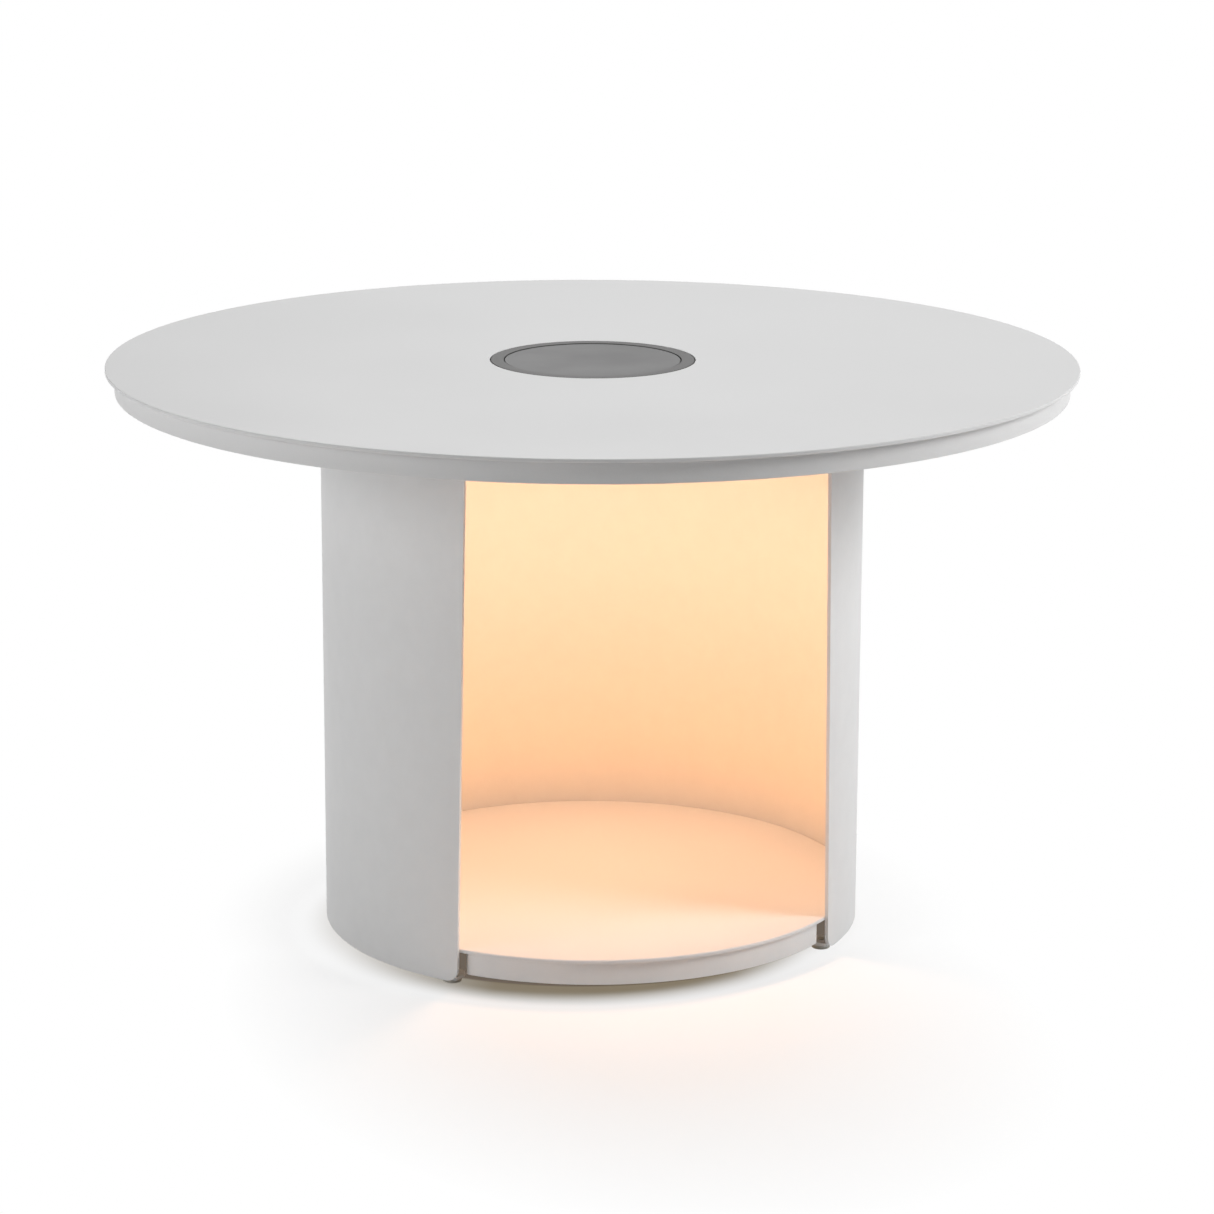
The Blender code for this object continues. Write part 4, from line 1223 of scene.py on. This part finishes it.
def background_rays(tree):
    """1 for rays that see or mirror the studio, 0 for rays that gather its light."""
    path = node(tree, "LightPath", {})
    seen = path.outputs["Is Camera Ray"]
    for name in ("Is Glossy Ray", "Is Transmission Ray"):
        seen = maths(tree, "MAXIMUM", seen, path.outputs[name])
    return seen


def world_light():
    """Even sky for light, and plain white where it is seen or mirrored."""
    world = bpy.data.worlds.new("studio")
    bpy.context.scene.world = world
    world.use_nodes = True
    tree = world.node_tree
    level = faded(tree, background_rays(tree), (0, 1), sky_strength, 1, "LINEAR")
    fill(tree, tree.nodes["Background"], {"Color": rgba(white), "Strength": level})


def distance(tree, place, centre, scale=(1, 1, 1)):
    """Distance from a centre, with the axes scaled first."""
    inputs = {0: place, 1: scale}
    scaled = node(tree, "VectorMath", inputs, operation="MULTIPLY").outputs["Vector"]
    inputs = {0: scaled, 1: centre}
    return node(tree, "VectorMath", inputs, operation="DISTANCE").outputs["Value"]


def matt(tree, colour):
    """Surface that shows the light on it."""
    return node(tree, "BsdfDiffuse", {"Color": rgba(colour)}).outputs[0]


def glowing(tree, colour):
    """Surface that shows a colour as it is."""
    return node(tree, "Emission", {"Color": rgba(colour)}).outputs[0]


def layered(tree, factor, first, second):
    """Mix two surfaces."""
    return node(tree, "MixShader", {0: factor, 1: first, 2: second}).outputs[0]


def studio_floor():
    """White floor that keeps the table's shadow near it, with painted shade under and close round
    the drum, and is clear from below.
    """
    material = bpy.data.materials.new("studio_floor")
    material.use_nodes = True
    tree = material.node_tree
    tree.nodes.remove(tree.nodes["Principled BSDF"])
    geometry = node(tree, "NewGeometry", {})
    place = geometry.outputs["Position"]
    from_axis = distance(tree, place, (0, 0, 0))
    from_shadow = distance(tree, place, shadow_centre, shadow_scale)
    from_painted_shadow = distance(tree, place, painted_shadow_centre)
    from_painted_inner_shade = distance(tree, place, painted_inner_shade_centre)

    contact = faded(tree, from_axis, contact_reach, contact_share, 0)
    shadow = faded(tree, from_shadow, shadow_reach, 1, 0, "LINEAR")
    # Close round the drum the floor shows less of its light and glows evenly: painted shade that
    # keeps the lamp's glow off the ground in front of the band
    outer = faded(tree, from_painted_shadow, niche_reach, 0, 1)
    shade = blended(tree, outer, (niche_shade,) * 3, (floor_shade,) * 3)
    open_lift = blended(tree, outer, (niche_painted_lift,) * 3, (floor_lift,) * 3)
    # Painted contact shadow near the drum, fading into the lift further out
    lift = blended(tree, faded(tree, from_painted_shadow, painted_shadow_reach, 0, 1), painted_contact_shadow, open_lift)
    near = node(tree, "AddShader", {0: matt(tree, shade), 1: glowing(tree, lift)}).outputs[0]
    seen = layered(tree, maths(tree, "MAXIMUM", contact, shadow), glowing(tree, white), near)

    # Painted dark shade on the ground inside the drum, seen through the slots beside the band
    painted_inner_shade_share = faded(tree, from_painted_inner_shade, painted_inner_shade_reach, 1, 0)
    under = maths(tree, "MULTIPLY", painted_inner_shade_share, faded(tree, from_axis, wall_reach, 1, 0))
    seen = layered(tree, under, seen, glowing(tree, painted_inner_shade))
    upper = layered(tree, background_rays(tree), matt(tree, (floor_bounce,) * 3), seen)
    clear = node(tree, "BsdfTransparent", {}).outputs[0]
    whole = layered(tree, geometry.outputs["Backfacing"], upper, clear)
    tree.links.new(whole, tree.nodes["Material Output"].inputs["Surface"])

    shape = bmesh.new()
    bmesh.ops.create_circle(shape, cap_ends=True, segments=floor_sides, radius=floor_radius)
    link("studio_floor", new_mesh("studio_floor", shape), material)


clear_scene()
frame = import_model()
photo_camera()

drum_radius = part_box("drum_wall")[1].y
wall_low, wall_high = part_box("drum_wall")[0].z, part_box("drum_wall")[1].z
dish_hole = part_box("diffuser")[1].x - dish_flange

coat = powder_coat("light_grey_coat")
moulding = moulded("dark_moulding")
rubber = moulded("seal_rubber")
button_rubber = moulded("button_rubber")
glide_plastic = moulded("glide_plastic")
battery_wrap = moulded("battery_wrap")
sheath = moulded("lead_sheath")
steel = plated("zinc_plating")
nickel = plated("nickel_plating")
etched_glass = etched("etched_glass")
opal = lit_opal("lit_opal")
cell_laminate = board("cell_laminate")
board_white = board("light_board")
board_green = board("control_board")

table_top()
skirt_ring()
ribs()
drum_shell()
head_ring()
studs_and_nuts()
niche_floor()
apron()
ledges()
feet()
seat_ring()
lamp_head()
lamp_cup()
screws()
opal_dish()
button_cap()
dress_inner_nodes()

studio_lights()
world_light()
studio_floor()
